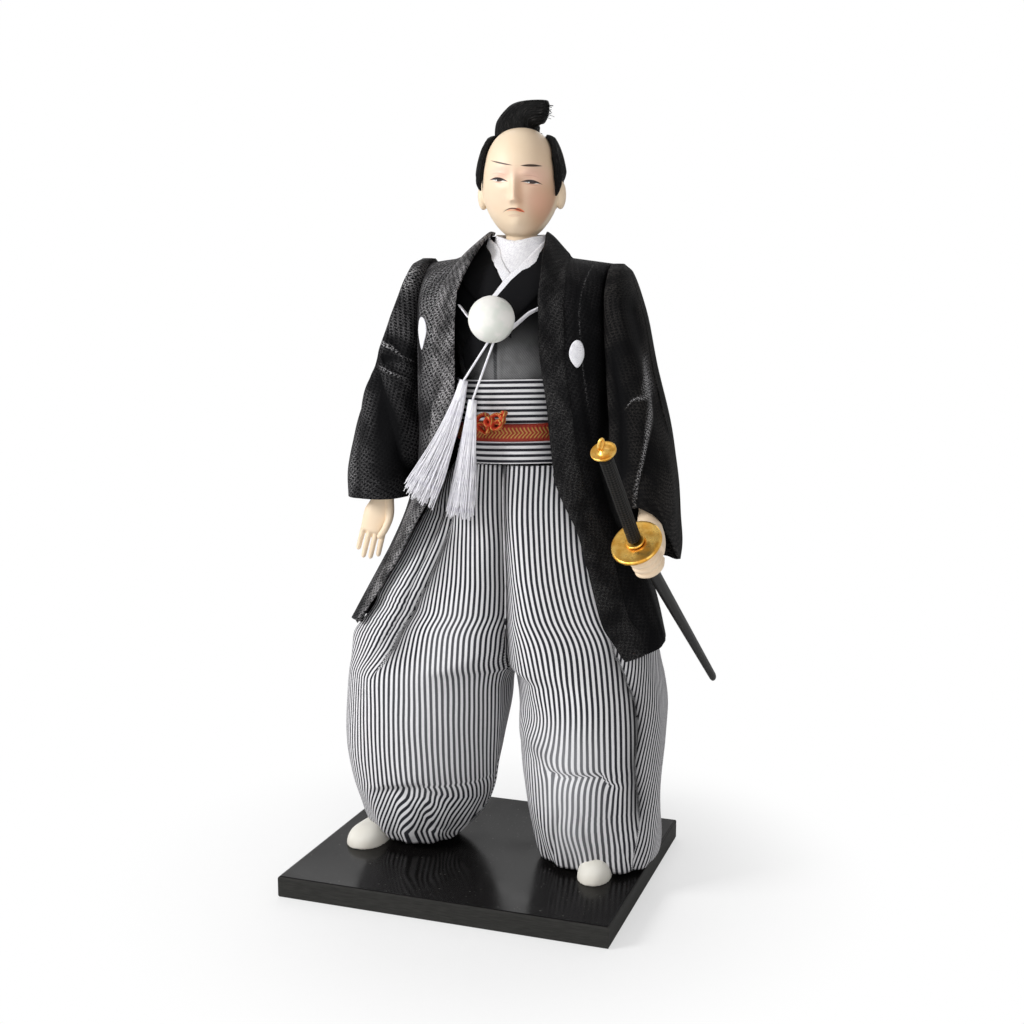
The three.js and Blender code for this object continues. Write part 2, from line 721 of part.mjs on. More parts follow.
// Palm: rounded sections that widen from the wrist to the knuckles
function palm(frame) {
  const sections = [
    [0, palmWidth * 0.64, palmThickness * 0.9], [palmLength * 0.3, palmWidth * 0.84, palmThickness],
    [palmLength * 0.58, palmWidth, palmThickness],
    [palmLength, palmWidth * knuckleShare, palmThickness * 0.74],
    [palmLength + 1.4, palmWidth * knuckleShare * 0.8, palmThickness * 0.45],
  ];
  return loft(sections.map(([along, wide, thick]) => Array.from({ length: 12 }, (_, i) => {
    const angle = (i / 12) * 2 * Math.PI;
    return handPoint(frame, along, (wide / 2) * Math.cos(angle), (thick / 2) * Math.sin(angle));
  })));
}

function finger(points, radius) {
  return pathTube(points, 4, 7, (share) => radius * (share < 0.9 ? 1 - 0.28 * share : 0.45));
}

// The open right hand, with its fingers together and a little bent
function openHand(frame, thumbSide) {
  const pieces = [palm(frame)];
  const pitch = (palmWidth * knuckleShare) / fingerLengths.length;
  fingerLengths.forEach((length, i) => {
    const wide = (i - (fingerLengths.length - 1) / 2) * pitch * 0.92;
    const start = palmLength - 2.5;
    pieces.push(finger([
      handPoint(frame, start, wide, 0),
      handPoint(frame, start + length * 0.5, wide * 1.02, -0.5),
      handPoint(frame, start + 2.5 + length, wide * 0.9, -2.2),
    ], fingerRadius));
  });
  pieces.push(finger([
    handPoint(frame, 5.5, thumbSide * 3.2, 1.2),
    handPoint(frame, 11, thumbSide * 4.4, 2.2),
    handPoint(frame, 5.5 + thumbLength, thumbSide * 1.8, 2.9),
  ], fingerRadius * 1.15));
  return join(...pieces);
}

// The closed left hand: a fist on the wrist with four fingers and a thumb round the scabbard
function closedHand(wrist, grip, axis) {
  const up = new THREE.Vector3(...axis);
  const centre = new THREE.Vector3(...grip);
  const toWrist = new THREE.Vector3(...wrist).sub(centre);
  const out = toWrist.clone().addScaledVector(up, -toWrist.dot(up)).normalize();
  const side = new THREE.Vector3().crossVectors(up, out);
  const place = (a, o, s) => centre.clone().addScaledVector(up, a)
    .addScaledVector(out, o).addScaledVector(side, s).toArray();
  const pieces = [pathTube([
    wrist, place(0, 9, 0.5), place(0, 4, 0.5), place(0, 1, 0.5),
  ], 5, 12, (share) => lerp(2.7, 5, Math.min(1, share * 1.5)))];
  [-4.4, -1.5, 1.4, 4.3].forEach((a) => {
    pieces.push(finger([
      place(a, 2.5, 4.2), place(a, -1.5, 4.4), place(a, -4.4, 1.6), place(a, -4.2, -2.6),
      place(a, -0.6, -4.2),
    ], fingerRadius * 1.2));
  });
  pieces.push(finger([place(3, 4, -3.6), place(5.6, 0.5, -5), place(6.6, -3.2, -3.4)], fingerRadius * 1.2));
  return join(...pieces);
}

// Point at a distance along the sword's axis from its guard, away from its tip
function alongSword(distance) {
  const axis = new THREE.Vector3(...swordTurn).normalize();
  return new THREE.Vector3(...guardCentre).addScaledVector(axis, -distance).toArray();
}

// A tapering bar with an oval section between two points
function ovalBar(from, to, start, end, count = 12, steps = 6) {
  const a = new THREE.Vector3(...from);
  const along = new THREE.Vector3(...to).sub(a);
  const thin = new THREE.Vector3(1, 0, 0).addScaledVector(
    along.clone().normalize(), -along.clone().normalize().x,
  ).normalize();
  const wide = new THREE.Vector3().crossVectors(along.clone().normalize(), thin);
  const rings = [];
  for (let j = 0; j <= steps; j += 1) {
    const share = j / steps;
    const size = { wide: lerp(start.wide, end.wide, share), thin: lerp(start.thin, end.thin, share) };
    rings.push(Array.from({ length: count }, (_, i) => {
      const angle = (i / count) * 2 * Math.PI;
      return a.clone().addScaledVector(along, share)
        .addScaledVector(wide, size.wide * Math.cos(angle))
        .addScaledVector(thin, size.thin * Math.sin(angle)).toArray();
    }));
  }
  return loft(rings);
}

// A small oval patch on the coat, between two lifts
function crest(angle, height) {
  const points = [];
  const faces = [];
  const count = 16;
  for (const lift of [coatCloth + fitGap + crestThickness, coatCloth + fitGap]) {
    points.push(coatAt(angle, height, lift));
    for (let i = 0; i < count; i += 1) {
      const turn = (i / count) * 2 * Math.PI;
      points.push(coatAt(
        angle + crestTurn * Math.cos(turn), height + crestHalfHeight * Math.sin(turn), lift,
      ));
    }
  }
  const back = count + 1;
  for (let i = 0; i < count; i += 1) {
    const a = 1 + i;
    const b = 1 + ((i + 1) % count);
    faces.push([0, a, b], [back, back + b, back + a], [a, back + a, back + b], [a, back + b, b]);
  }
  return solidFrom(points, faces);
}

// Foot in its sock: sections from heel to toe with a flat sole, and the ankle on top
function footSolid(foot, grow = 0) {
  const heel = foot.toe + footLength;
  const sections = [
    [0, 0.25, 0.4], [0.06, 0.62, 0.72], [0.2, 0.8, 0.95], [0.45, 0.82, 1], [0.7, 0.98, 0.9],
    [0.86, 0.98, 0.78], [0.95, 0.78, 0.62], [1, 0.36, 0.36],
  ];
  const turned = foot.turn * degrees;
  const rings = sections.map(([share, wide, high]) => Array.from({ length: 14 }, (_, i) => {
    const angle = (i / 14) * 2 * Math.PI;
    const across = ((footWidth / 2) * wide + grow) * signedPower(Math.cos(angle), 0.8);
    const along = lerp(heel + grow, foot.toe - grow, share);
    const z = Math.max(-grow, (footHeight * high + grow) * Math.sin(angle));
    const x = across * Math.cos(turned) - (along - heel) * Math.sin(turned);
    return [foot.x + x, heel + across * Math.sin(turned) + (along - heel) * Math.cos(turned), z];
  }));
  const ankle = ankleOf(foot);
  const low = [ankle[0], ankle[1], footHeight * 0.4];
  const high = [ankle[0], ankle[1], ankleHeight + grow];
  return join(loft(rings), rod(low, high, ankleRadius + grow, ankleRadius * 0.9 + grow, 16));
}

function ankleOf(foot) {
  const back = footLength * ankleShare;
  return [foot.x + back * Math.sin(foot.turn * degrees), foot.toe + footLength - back, 0];
}

// Point of a leg's straight wire at a height
function legPoint(foot, side, height) {
  const start = ankleOf(foot);
  const share = height / waistHeight;
  return [lerp(start[0], side * hipX, share), lerp(start[1], 0, share), height];
}

function legWire(foot, side, grow = 0) {
  const low = legPoint(foot, side, -legWireDepth - grow);
  return rod(low, legPoint(foot, side, waistHeight + hipDepth + grow), legWireRadius + grow);
}

function legPadding(foot, side, grow = 0) {
  const low = legPoint(foot, side, ankleHeight + 2 * fitGap - 2 * grow);
  return rod(low, legPoint(foot, side, paddingTop + grow), calfRadius + grow, thighRadius + grow, 16);
}

// A fluted bundle of threads or hair along a path
function bundle(path, steps, strands, radius, depth) {
  const curve = new THREE.CatmullRomCurve3(path.map((p) => new THREE.Vector3(...p)));
  const frames = curve.computeFrenetFrames(steps, false);
  const rings = [];
  for (let j = 0; j <= steps; j += 1) {
    const centre = curve.getPointAt(j / steps);
    rings.push(Array.from({ length: strands * 2 }, (_, i) => {
      const angle = (i / (strands * 2)) * 2 * Math.PI;
      const r = radius(j / steps) * (i % 2 === 0 ? 1 : 1 - depth);
      return centre.clone().addScaledVector(frames.normals[j], r * Math.cos(angle))
        .addScaledVector(frames.binormals[j], r * Math.sin(angle)).toArray();
    }));
  }
  return loft(rings);
}

function disc(centre, axis, radius, thickness, sides) {
  const half = new THREE.Vector3(...axis).normalize().multiplyScalar(thickness / 2);
  const middle = new THREE.Vector3(...centre);
  return rod(middle.clone().sub(half).toArray(), middle.clone().add(half).toArray(), radius, radius, sides);
}

// The pommel: a flared dish that closes the hilt
function pommelSolid(base, axis) {
  const profile = [
    [0, 0], [hiltWide, 0], [hiltWide + 0.3, 1], [pommelRadius, 1.9], [pommelRadius, 2.5],
    [pommelRadius * 0.62, pommelHeight], [0, pommelHeight],
  ];
  const geometry = new THREE.LatheGeometry(profile.map(([r, y]) => new THREE.Vector2(r, y)), 20);
  geometry.applyQuaternion(new THREE.Quaternion().setFromUnitVectors(
    new THREE.Vector3(0, 1, 0), new THREE.Vector3(...axis).normalize(),
  ));
  return geometry.translate(...base);
}

const paint = {
  lacquer: { color: 0x141414, roughness: 0.25, metalness: 0 },
  sock: { color: 0xe6e2d8, roughness: 0.8, metalness: 0 },
  wire: { color: 0x9a9a98, roughness: 0.4, metalness: 1 },
  wadding: { color: 0xe9e4d6, roughness: 1, metalness: 0 },
  core: { color: 0xcfc2a0, roughness: 1, metalness: 0 },
  stripe: { color: 0x9c9da2, roughness: 0.85, metalness: 0 },
  kimono: { color: 0x1b1b1d, roughness: 0.85, metalness: 0 },
  brocade: { color: 0x161516, roughness: 0.55, metalness: 0 },
  white: { color: 0xe9e8ee, roughness: 0.7, metalness: 0 },
  braid: { color: 0xb8401c, roughness: 0.7, metalness: 0 },
  skin: { color: 0xf2d8c4, roughness: 0.6, metalness: 0 },
  hair: { color: 0x0b0a0b, roughness: 0.4, metalness: 0 },
  gold: { color: 0xd9a331, roughness: 0.3, metalness: 1 },
  black: { color: 0x0d0d0e, roughness: 0.35, metalness: 0 },
};

const doll = new THREE.Group();
const figure = new THREE.Group();
figure.position.set(figureX, figureY, boardThickness);
doll.add(figure);
const head = new THREE.Group();
head.rotation.z = headTurn * degrees;
figure.add(head);

function add(name, geometry, material, parent = figure) {
  geometry.computeVertexNormals();
  const mesh = new THREE.Mesh(geometry, new THREE.MeshStandardMaterial(paint[material]));
  mesh.name = name;
  parent.add(mesh);
}

// Board, with a hole for each leg wire
const outline = new THREE.Shape();
const halfWide = boardWidth / 2 - boardEdge;
const halfDeep = boardDepth / 2 - boardEdge;
outline.moveTo(-halfWide, -halfDeep);
outline.lineTo(halfWide, -halfDeep);
outline.lineTo(halfWide, halfDeep);
outline.lineTo(-halfWide, halfDeep);
const board = new THREE.ExtrudeGeometry(outline, {
  depth: boardThickness - 2 * boardEdge, bevelThickness: boardEdge, bevelSize: boardEdge, bevelSegments: 2,
}).translate(-figureX, -figureY, boardEdge - boardThickness);
add('base_board', cut(board, legWire(rightFoot, -1, fitGap), legWire(leftFoot, 1, fitGap)), 'lacquer');

// Legs: foot, wire, padding and trouser leg on each side
for (const [label, side, foot, table] of [
  ['right', -1, rightFoot, rightLeg], ['left', 1, leftFoot, leftLeg],
]) {
  const wire = legWire(foot, side);
  const wireTool = legWire(foot, side, fitGap);
  add(`${label}_foot`, cut(footSolid(foot), wireTool), 'sock');
  add(`${label}_leg_wire`, wire, 'wire');
  add(`${label}_leg_padding`, cut(legPadding(foot, side), wireTool), 'wadding');
  add(`${label}_trouser_leg`, cut(
    trouserLeg(table, side), wireTool, legPadding(foot, side, fitGap), footSolid(foot, 1.5 * fitGap),
  ), 'stripe');
}

// Trunk and the wires and peg in it
const coreLift = -kimonoCloth - fitGap;
const coreRings = trunkHeights(waistHeight, coreTop).map((height) => (
  Array.from({ length: trunkSides }, (_, i) => trunkPoint((i * 360) / trunkSides, height, coreLift))));
const shoulderRod = (grow) => rod(
  [-shoulderPivot.x - grow, shoulderPivot.y, shoulderPivot.z],
  [shoulderPivot.x + grow, shoulderPivot.y, shoulderPivot.z], armWireRadius + grow,
);
const pegRod = (grow) => rod(
  [0, 0, neckLow - pegLength - grow], [0, 0, neckLow + pegLength / 2 + grow],
  pegRadius + grow, pegRadius + grow, 16,
);
add('torso_core', cut(
  loft(coreRings), legWire(rightFoot, -1, fitGap), legWire(leftFoot, 1, fitGap),
  shoulderRod(fitGap), pegRod(fitGap),
), 'core');
add('shoulder_wire', shoulderRod(0), 'wire');

// Kimono, collars and waist
add('kimono_body', cut(trunkBand(waistHeight, kimonoTop, -kimonoCloth, 0), shoulderRod(fitGap)), 'kimono');
add('under_collar', collar(underCollar, layerGap, 26, 4), 'white');
add('kimono_right_collar', collar(rightCollar, 2 * layerGap + layer, 15, 5), 'kimono');
add('kimono_left_collar', collar(leftCollar, 3 * layerGap + 2 * layer, 20, 5), 'kimono');
add('waist_sash', trunkBand(waistHeight, sashTop, fitGap, fitGap + sashCloth), 'stripe');
const cordLift = 2 * fitGap + sashCloth;
add('waist_cord', trunkBand(cordLow, cordHigh, cordLift, cordLift + cordThickness), 'braid');
const knotHeight = (cordLow + cordHigh) / 2;
const knot = new THREE.SphereGeometry(1, 14, 8);
knot.scale(knotHalf.wide, knotHalf.deep, knotHalf.high);
knot.rotateZ(knotAngle * degrees);
knot.translate(...trunkPoint(knotAngle, knotHeight, cordLift + cordThickness + fitGap + knotHalf.deep));
add('waist_cord_knot', knot, 'braid');

// Coat: back, fronts, lapels and neck band, with a hole for the shoulder wire at each side
const armhole = shoulderRod(2 * fitGap);
add('coat_back', cut(coatBack(20, 11), armhole), 'brocade');
for (const [label, side, opening, hemline] of [
  ['right', -1, rightOpening, rightHem], ['left', 1, leftOpening, leftHem],
]) {
  add(`coat_${label}_front`, cut(
    coatFront(side, opening, hemline, false, coatCloth, 7, 14), armhole,
  ), 'brocade');
  add(`coat_${label}_lapel`, coatFront(side, opening, hemline, true, lapelThickness, 2, 14), 'brocade');
}
const bandLift = 4 * layerGap + 3 * layer;
const neckBandAt = (lift) => (u, v) => (
  trunkPoint(lerp(neckBandAngle, 360 - neckBandAngle, u), lerp(neckBandHigh, neckBandLow, v), lift));
add('coat_neck_band', panel(18, 2, neckBandAt(bandLift + coatCloth), neckBandAt(bandLift)), 'brocade');
add('right_crest', crest(rightCrest.angle, rightCrest.height), 'white');
add('left_crest', crest(leftCrest.angle, leftCrest.height), 'white');

// Ball and the two flat cords that hold it between the lapels
const ball = new THREE.SphereGeometry(ballRadius, 20, 11);
ball.translate(...ballCentre);
add('coat_ball', ball, 'white');
const ballTool = new THREE.SphereGeometry(ballRadius + fitGap, 20, 11).translate(...ballCentre);
for (const [label, path] of [['right', rightCordPath], ['left', leftCordPath]]) {
  const cord = pathTube(path, 8, 8, () => coatCordWide / 2, coatCordThick / coatCordWide);
  add(`${label}_coat_cord`, cut(cord, ballTool), 'white');
}

// Tassels: each hangs on its own cord from the ball's underside
for (const [label, path] of [['right', rightTassel], ['left', leftTassel]]) {
  const start = path[0];
  add(`${label}_tassel_cord`, cut(rod(tasselPivot[label], [
    start[0], start[1], start[2] + fitGap,
  ], tasselCordRadius, tasselCordRadius, 8), ballTool), 'white');
  const tasselRadius = (share) => (
    tasselHeadRadius * (share < 0.12 ? 0.7 + 2.5 * share : 0.9 + share * tasselSpread));
  add(`${label}_tassel`, bundle(path, 6, tasselStrands, tasselRadius, tasselGroove), 'white');
}

// Arms: sleeve, wire and hand
const grip = alongSword(-gripPlace);
const gripPoint = new THREE.Vector3(...grip);
const fromWrist = gripPoint.clone().sub(new THREE.Vector3(...leftWrist));
const rightFrame = handFrame(rightWrist, rightTip, palmAcross);
const rightArm = armPath(-1, rightElbow, handPoint(rightFrame, -wireEnd, 0, 0));
const leftEnd = new THREE.Vector3(...leftWrist).addScaledVector(fromWrist.clone().normalize(), -wireEnd);
const leftArm = armPath(1, leftElbow, leftEnd.toArray());
const wireTube = (path, radius) => pathTube(path, 9, 6, () => radius);
const mouth = rightSleeve[rightSleeve.length - 1][0];
const rightMouth = loft([mouth - 1, mouth + mouthDepth].map((height) => (
  sleeveRing(rightSleeve, -1, height, 20, -sleeveCloth))));
const rightWireTool = wireTube(rightArm, armWireRadius + fitGap);
add('right_sleeve', cut(sleeve(rightSleeve, -1), rightMouth, rightWireTool), 'brocade');
add('right_arm_wire', wireTube(rightArm, armWireRadius), 'wire');
add('right_hand', openHand(rightFrame, 1), 'skin');

const mouthEnd = new THREE.Vector3(...leftWrist).addScaledVector(fromWrist, -mouthShare);
const leftMouth = rod(grip, mouthEnd.toArray(), mouthRadius);
const leftWireTool = wireTube(leftArm, armWireRadius + fitGap);
add('left_sleeve', cut(sleeve(leftSleeve, 1), leftMouth, leftWireTool), 'brocade');
add('left_arm_wire', wireTube(leftArm, armWireRadius), 'wire');

// Sword: scabbard, guard, washers, hilt, pommel and ring
const below = (distance) => alongSword(-distance);
const scabbardStart = guardThickness / 2 + washerThickness + 2 * fitGap;
const wideEnd = { wide: scabbardWide, thin: scabbardThin };
const tipEnd = { wide: scabbardWide * scabbardTip, thin: scabbardThin * scabbardTip };
const grown = (size) => ({ wide: size.wide + gripGap, thin: size.thin + gripGap });
const scabbardEnd = below(scabbardStart + scabbardLength);
add('scabbard', ovalBar(below(scabbardStart), scabbardEnd, wideEnd, tipEnd), 'black');
add('left_hand', cut(
  closedHand(leftWrist, grip, swordTurn),
  ovalBar(below(0), below(scabbardLength), grown(wideEnd), grown(wideEnd)),
), 'skin');
add('sword_guard', disc(guardCentre, swordTurn, guardRadius, guardThickness, 28), 'gold');
const washerPlace = guardThickness / 2 + fitGap + washerThickness / 2;
add('lower_guard_washer', disc(below(washerPlace), swordTurn, washerRadius, washerThickness, 16), 'gold');
add('upper_guard_washer', disc(below(-washerPlace), swordTurn, washerRadius, washerThickness, 16), 'gold');
const hiltAxis = new THREE.Vector3(...hiltTurn).normalize();
const alongHilt = (distance) => new THREE.Vector3(...below(-washerPlace - washerThickness / 2))
  .addScaledVector(hiltAxis, distance).toArray();
const hiltStart = hiltWide * Math.sin(hiltAxis.angleTo(new THREE.Vector3(...swordTurn).negate())) + fitGap;
const hiltSize = { wide: hiltWide, thin: hiltThin };
const hiltEnd = alongHilt(hiltStart + hiltLength);
add('sword_hilt', ovalBar(alongHilt(hiltStart), hiltEnd, hiltSize, hiltSize, 14, 3), 'black');
const pommelStart = hiltStart + hiltLength + fitGap;
add('sword_pommel', pommelSolid(alongHilt(pommelStart), hiltTurn), 'gold');
const ring = new THREE.TorusGeometry(ringRadius, ringWire, 6, 14);
ring.rotateY(ringTurn * degrees);
ring.translate(...alongHilt(pommelStart + pommelHeight + ringRadius + ringWire + fitGap));
add('pommel_ring', ring, 'gold');

// Head, with its peg, hair and topknot
const neckTop = headHeight - headHalf.high * 0.4;
const neck = rod([0, 0, neckLow], [0, 0, neckTop], neckRadius, neckRadius * 0.86, 24);
const ears = [-1, 1].map((side) => {
  const ear = new THREE.SphereGeometry(1, 10, 8);
  ear.scale(earHalf.wide, earHalf.deep, earHalf.high);
  return ear.translate(side * (headHalf.wide + earHalf.wide * 0.1), earPlace.y, headHeight + earPlace.z);
});
const skull = join(headShell(0, headColumns, headRows), neck, ...ears);
add('doll_head', cut(skull, pegRod(fitGap)), 'skin', head);
add('neck_peg', pegRod(0), 'core', head);
for (const [name, from, to, low, high, across] of [
  ['left_side_hair', 56, 106, (u) => (u < 0.42 ? -4 : 9), (u) => lerp(40, 52, u), 8],
  ['back_hair', 107.5, 252.5, (u) => -36 + 30 * Math.abs(2 * u - 1) ** 3, () => 47, 18],
  ['right_side_hair', 254, 304, (u) => (u > 0.58 ? -4 : 9), (u) => lerp(52, 40, u), 8],
]) {
  add(name, hairPatch(from, to, low, high, across, 5), 'hair', head);
}
const knotTool = headShell(hairGap, headColumns, headRows);
const topknotRows = topknotSizes.map((size, i) => [i / (topknotSizes.length - 1), size]);
add('topknot', cut(bundle(topknotPath, 8, 10, (share) => tableAt(topknotRows, share, 1), 0.1), knotTool),
  'hair', head);

export default doll;
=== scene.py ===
"""The looks of a cloth samurai doll that stands on a lacquered board.

Every cloth, cord, tassel, hair, hand and head is a surface worked out with numpy in the doll's own
millimetres: the middle of its feet is the origin, it faces -Y, and the board's top is z = 0."""
import math

import bpy
import numpy as np
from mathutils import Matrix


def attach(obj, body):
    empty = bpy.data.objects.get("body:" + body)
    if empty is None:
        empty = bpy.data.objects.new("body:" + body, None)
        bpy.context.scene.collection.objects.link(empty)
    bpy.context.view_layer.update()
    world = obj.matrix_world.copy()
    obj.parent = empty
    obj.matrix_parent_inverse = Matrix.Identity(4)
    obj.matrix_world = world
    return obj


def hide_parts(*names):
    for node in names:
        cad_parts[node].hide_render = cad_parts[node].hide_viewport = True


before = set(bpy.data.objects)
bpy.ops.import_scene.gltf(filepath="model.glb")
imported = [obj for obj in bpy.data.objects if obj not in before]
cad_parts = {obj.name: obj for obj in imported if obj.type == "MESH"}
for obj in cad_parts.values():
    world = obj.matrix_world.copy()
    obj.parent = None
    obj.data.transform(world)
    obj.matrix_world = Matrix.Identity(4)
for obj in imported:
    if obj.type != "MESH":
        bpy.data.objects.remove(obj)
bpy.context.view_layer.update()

MM = 0.001
BOARD_TOP = 8.4
FIGURE = np.array([13.5, 2.0, BOARD_TOP])
HEAD_TURN = math.radians(10)
SIGN = {"right": -1, "left": 1}
# Points closer than this are one point. The shift keeps round numbers off the rounding's limits.
WELD, WELD_SHIFT = 1e-3, 0.137


# Shapes: tables, curves and grids of points

def rows_at(table, place, column):
    """A table's column at each place: a cubic through the rows, y = sum of Hermite weights times
    the rows and their slopes, where a slope is the harmonic mean of its two neighbours."""
    rows = np.array(sorted(table, key=lambda row: row[0]), float)
    x, y = rows[:, 0], rows[:, column]
    span = np.diff(x)
    slope = np.diff(y) / span
    first, second = slope[:-1], slope[1:]
    total = np.where(first + second == 0, 1, first + second)
    inner = np.where(first * second > 0, 2 * first * second / total, 0)
    bend = np.concatenate(([slope[0]], inner, [slope[-1]]))
    place = np.clip(place, x[0], x[-1])
    i = np.clip(np.searchsorted(x, place, side="right") - 1, 0, len(slope) - 1)
    s = (place - x[i]) / span[i]
    return ((2 * s**3 - 3 * s**2 + 1) * y[i] + (s**3 - 2 * s**2 + s) * span[i] * bend[i]
            + (3 * s**2 - 2 * s**3) * y[i + 1] + (s**3 - s**2) * span[i] * bend[i + 1])


def mix(a, b, share):
    """a + (b - a) share"""
    return a + (b - a) * share


def rise(value, low, high):
    """0 under low, 1 over high, and t t (3 - 2 t) between them"""
    t = np.clip((value - low) / (high - low), 0, 1)
    return t * t * (3 - 2 * t)


def signed_power(value, power):
    """sign(value) |value|^power"""
    return np.sign(value) * np.abs(value) ** power


def round_end(share, least=0.0):
    """sqrt(1 - share^2), from 1 where a rounded end begins to 0 at its tip"""
    return np.sqrt(np.clip(1 - np.clip(share, 0, 1) ** 2, least, 1))


def grid(across, down, left=0.0, right=1.0, top=0.0, low=1.0):
    """u runs along the columns and v down the rows, both evenly"""
    return np.meshgrid(np.linspace(left, right, across), np.linspace(top, low, down))


def swell(value, middle, width):
    """exp(-((value - middle) / width)^2)"""
    return np.exp(-((value - middle) / width) ** 2)


def crease(off, near, far):
    """exp(-|off| / near) on the low side of a line, and exp(-off / far) on its high side"""
    return np.exp(-np.abs(off) / np.where(off < 0, near, far))


def within(value, low, high, soft):
    """1 between low and high, fading to 0 over soft on both sides"""
    return rise(value, low - soft, low + soft) * (1 - rise(value, high - soft, high + soft))


def at_column(values, place):
    """Each row's value at its own place along the columns, between two columns"""
    place = np.clip(place, 0, values.shape[1] - 1.001)
    low = place.astype(int)
    a = np.take_along_axis(values, low, 1)
    b = np.take_along_axis(values, low + 1, 1)
    return mix(a, b, place - low)


def ripples(u, v, seed, count=6, coarse=1.0, fine=3.0):
    """A sum of sine waves in u and v with seeded directions and phases, about 1 high in all"""
    draw = np.random.default_rng(seed)
    total = 0 * u
    for _ in range(count):
        a, b = draw.uniform(-1, 1, 2)
        rate = draw.uniform(coarse, fine)
        total = total + np.sin(math.tau * rate * (a * u + b * v) + draw.uniform(0, math.tau))
    return total / math.sqrt(count * 2)


def smooth_path(points, count):
    """A Catmull-Rom curve through the points, with count places evenly spaced along its length"""
    p = np.array(points, float)
    p = np.concatenate(([2 * p[0] - p[1]], p, [2 * p[-1] - p[-2]]))
    t = np.linspace(0, len(points) - 1, 24 * len(points))
    i = np.minimum(t.astype(int), len(points) - 2)
    s = (t - i)[:, None]
    a, b, c, d = p[i], p[i + 1], p[i + 2], p[i + 3]
    curve = 0.5 * (2 * b + (c - a) * s + (2 * a - 5 * b + 4 * c - d) * s**2
                   + (3 * b - a - 3 * c + d) * s**3)
    length = np.concatenate(([0], np.cumsum(np.linalg.norm(np.diff(curve, axis=0), axis=1))))
    even = np.linspace(0, length[-1], count)
    return np.stack([np.interp(even, length, curve[:, k]) for k in range(3)], -1)


def unit(vectors):
    """v / |v|"""
    return vectors / np.maximum(np.linalg.norm(vectors, axis=-1, keepdims=True), 1e-12)


def path_frame(path, up):
    """Side and normal of a path: side = tangent x up, normal = side x tangent, both unit"""
    along = unit(np.gradient(path, axis=-2))
    side = unit(np.cross(along, np.broadcast_to(np.array(up, float), along.shape)))
    return side, np.cross(side, along)


def rings_on(path, side, normal, across, up):
    """p + side across + normal up, for each place on a path and each step round it"""
    return (path[..., None, :] + across[..., None] * side[..., None, :]
            + up[..., None] * normal[..., None, :])


def closed(rings, first, last=None):
    """The rings, and a ring shrunk to a point at each end for which a point is given"""
    ends = [[] if end is None else [np.broadcast_to(end, rings[..., :1, :, :].shape)]
            for end in (first, last)]
    return np.concatenate(ends[0] + [rings] + ends[1], axis=-3)


def middle_of(ring):
    """The mean of a ring's points, whose last is its first again"""
    return ring[:, :-1].mean(1, keepdims=True)


def tube(path, wide, high, sides, up=(0, 0, 1), power=1.0, ends=True):
    """Round a path: p + side wide cos(a)^power + normal high sin(a)^power, with closed ends.
    The path may be one row of points, or a stack of rows of points for many strands."""
    side, normal = path_frame(path, up)
    turn = np.linspace(0, math.tau, sides + 1)
    wide = np.broadcast_to(wide, path.shape[:-1])[..., None]
    high = np.broadcast_to(high, path.shape[:-1])[..., None]
    rings = rings_on(path, side, normal, wide * signed_power(np.cos(turn), power),
                     high * signed_power(np.sin(turn), power))
    return closed(rings, path[..., :1, None, :], path[..., -1:, None, :]) if ends else rings


def globe(a, b, x, y, z):
    """x sin(b) cos(a), y sin(b) sin(a), z cos(b)"""
    return np.stack((x * np.sin(b) * np.cos(a), y * np.sin(b) * np.sin(a), z * np.cos(b)), -1)


def swells(rows, x, height):
    """The sum of power swell(x) swell(height) over rows of x, height, width, reach and power"""
    return sum(power * swell(x, x0, wide) * swell(height, z0, high)
               for x0, z0, wide, high, power in rows)


def cloth_map(points, left=0.0, top=0.0):
    """The cloth's own millimetres: u is the length along each row, v the mean length down"""
    u = np.zeros(points.shape[:2])
    u[:, 1:] = np.cumsum(np.linalg.norm(np.diff(points, axis=1), axis=-1), axis=1)
    step = np.linalg.norm(np.diff(points, axis=0), axis=-1).mean(1)
    v = np.concatenate(([0], np.cumsum(step)))[:, None] + 0 * u
    return np.stack((u + left, v + top), -1)


# Meshes

def placed(points, head=False):
    """World metres: head points turn about the neck, and all move with the figure"""
    if head:
        x, y, z = points[..., 0], points[..., 1], points[..., 2]
        c, s = math.cos(HEAD_TURN), math.sin(HEAD_TURN)
        points = np.stack((x * c - y * s, x * s + y * c, z), -1)
    return (points + FIGURE) * MM


def welded(points, corners, uv):
    """Corners that share a place share a point, and quads with one doubled corner are triangles.
    The first three columns of the points are their places."""
    key = np.round(points[:, :3] / (WELD * MM) + WELD_SHIFT).astype(np.int64)
    _, first, same = np.unique(key, axis=0, return_index=True, return_inverse=True)
    corners = same.reshape(-1)[corners]
    doubled = corners == np.roll(corners, -1, axis=1)
    count = doubled.sum(1)
    quads, quad_uv = corners[count == 0], uv[count == 0]
    triangles, triangle_uv = [], []
    for k in range(4):
        hit = (count == 1) & doubled[:, k]
        keep = [j for j in range(4) if j != k]
        triangles.append(corners[hit][:, keep])
        triangle_uv.append(uv[hit][:, keep])
    return points[first], quads, quad_uv, np.concatenate(triangles), np.concatenate(triangle_uv)


def outward(points, quads, triangles, inside):
    """True where the faces' normals point away from the inside point on the whole"""
    total = 0.0
    for faces in (quads, triangles):
        if len(faces):
            p = points[faces]
            normal = np.cross(p[:, 1] - p[:, 0], p[:, 2] - p[:, 0])
            total += float(((p.mean(1) - inside) * normal).sum())
    return total > 0


def no_maps(grids):
    """Maps of zeros, for materials that don't read the cloth's own millimetres"""
    return [np.zeros(g.shape[:2] + (2,)) for g in grids]


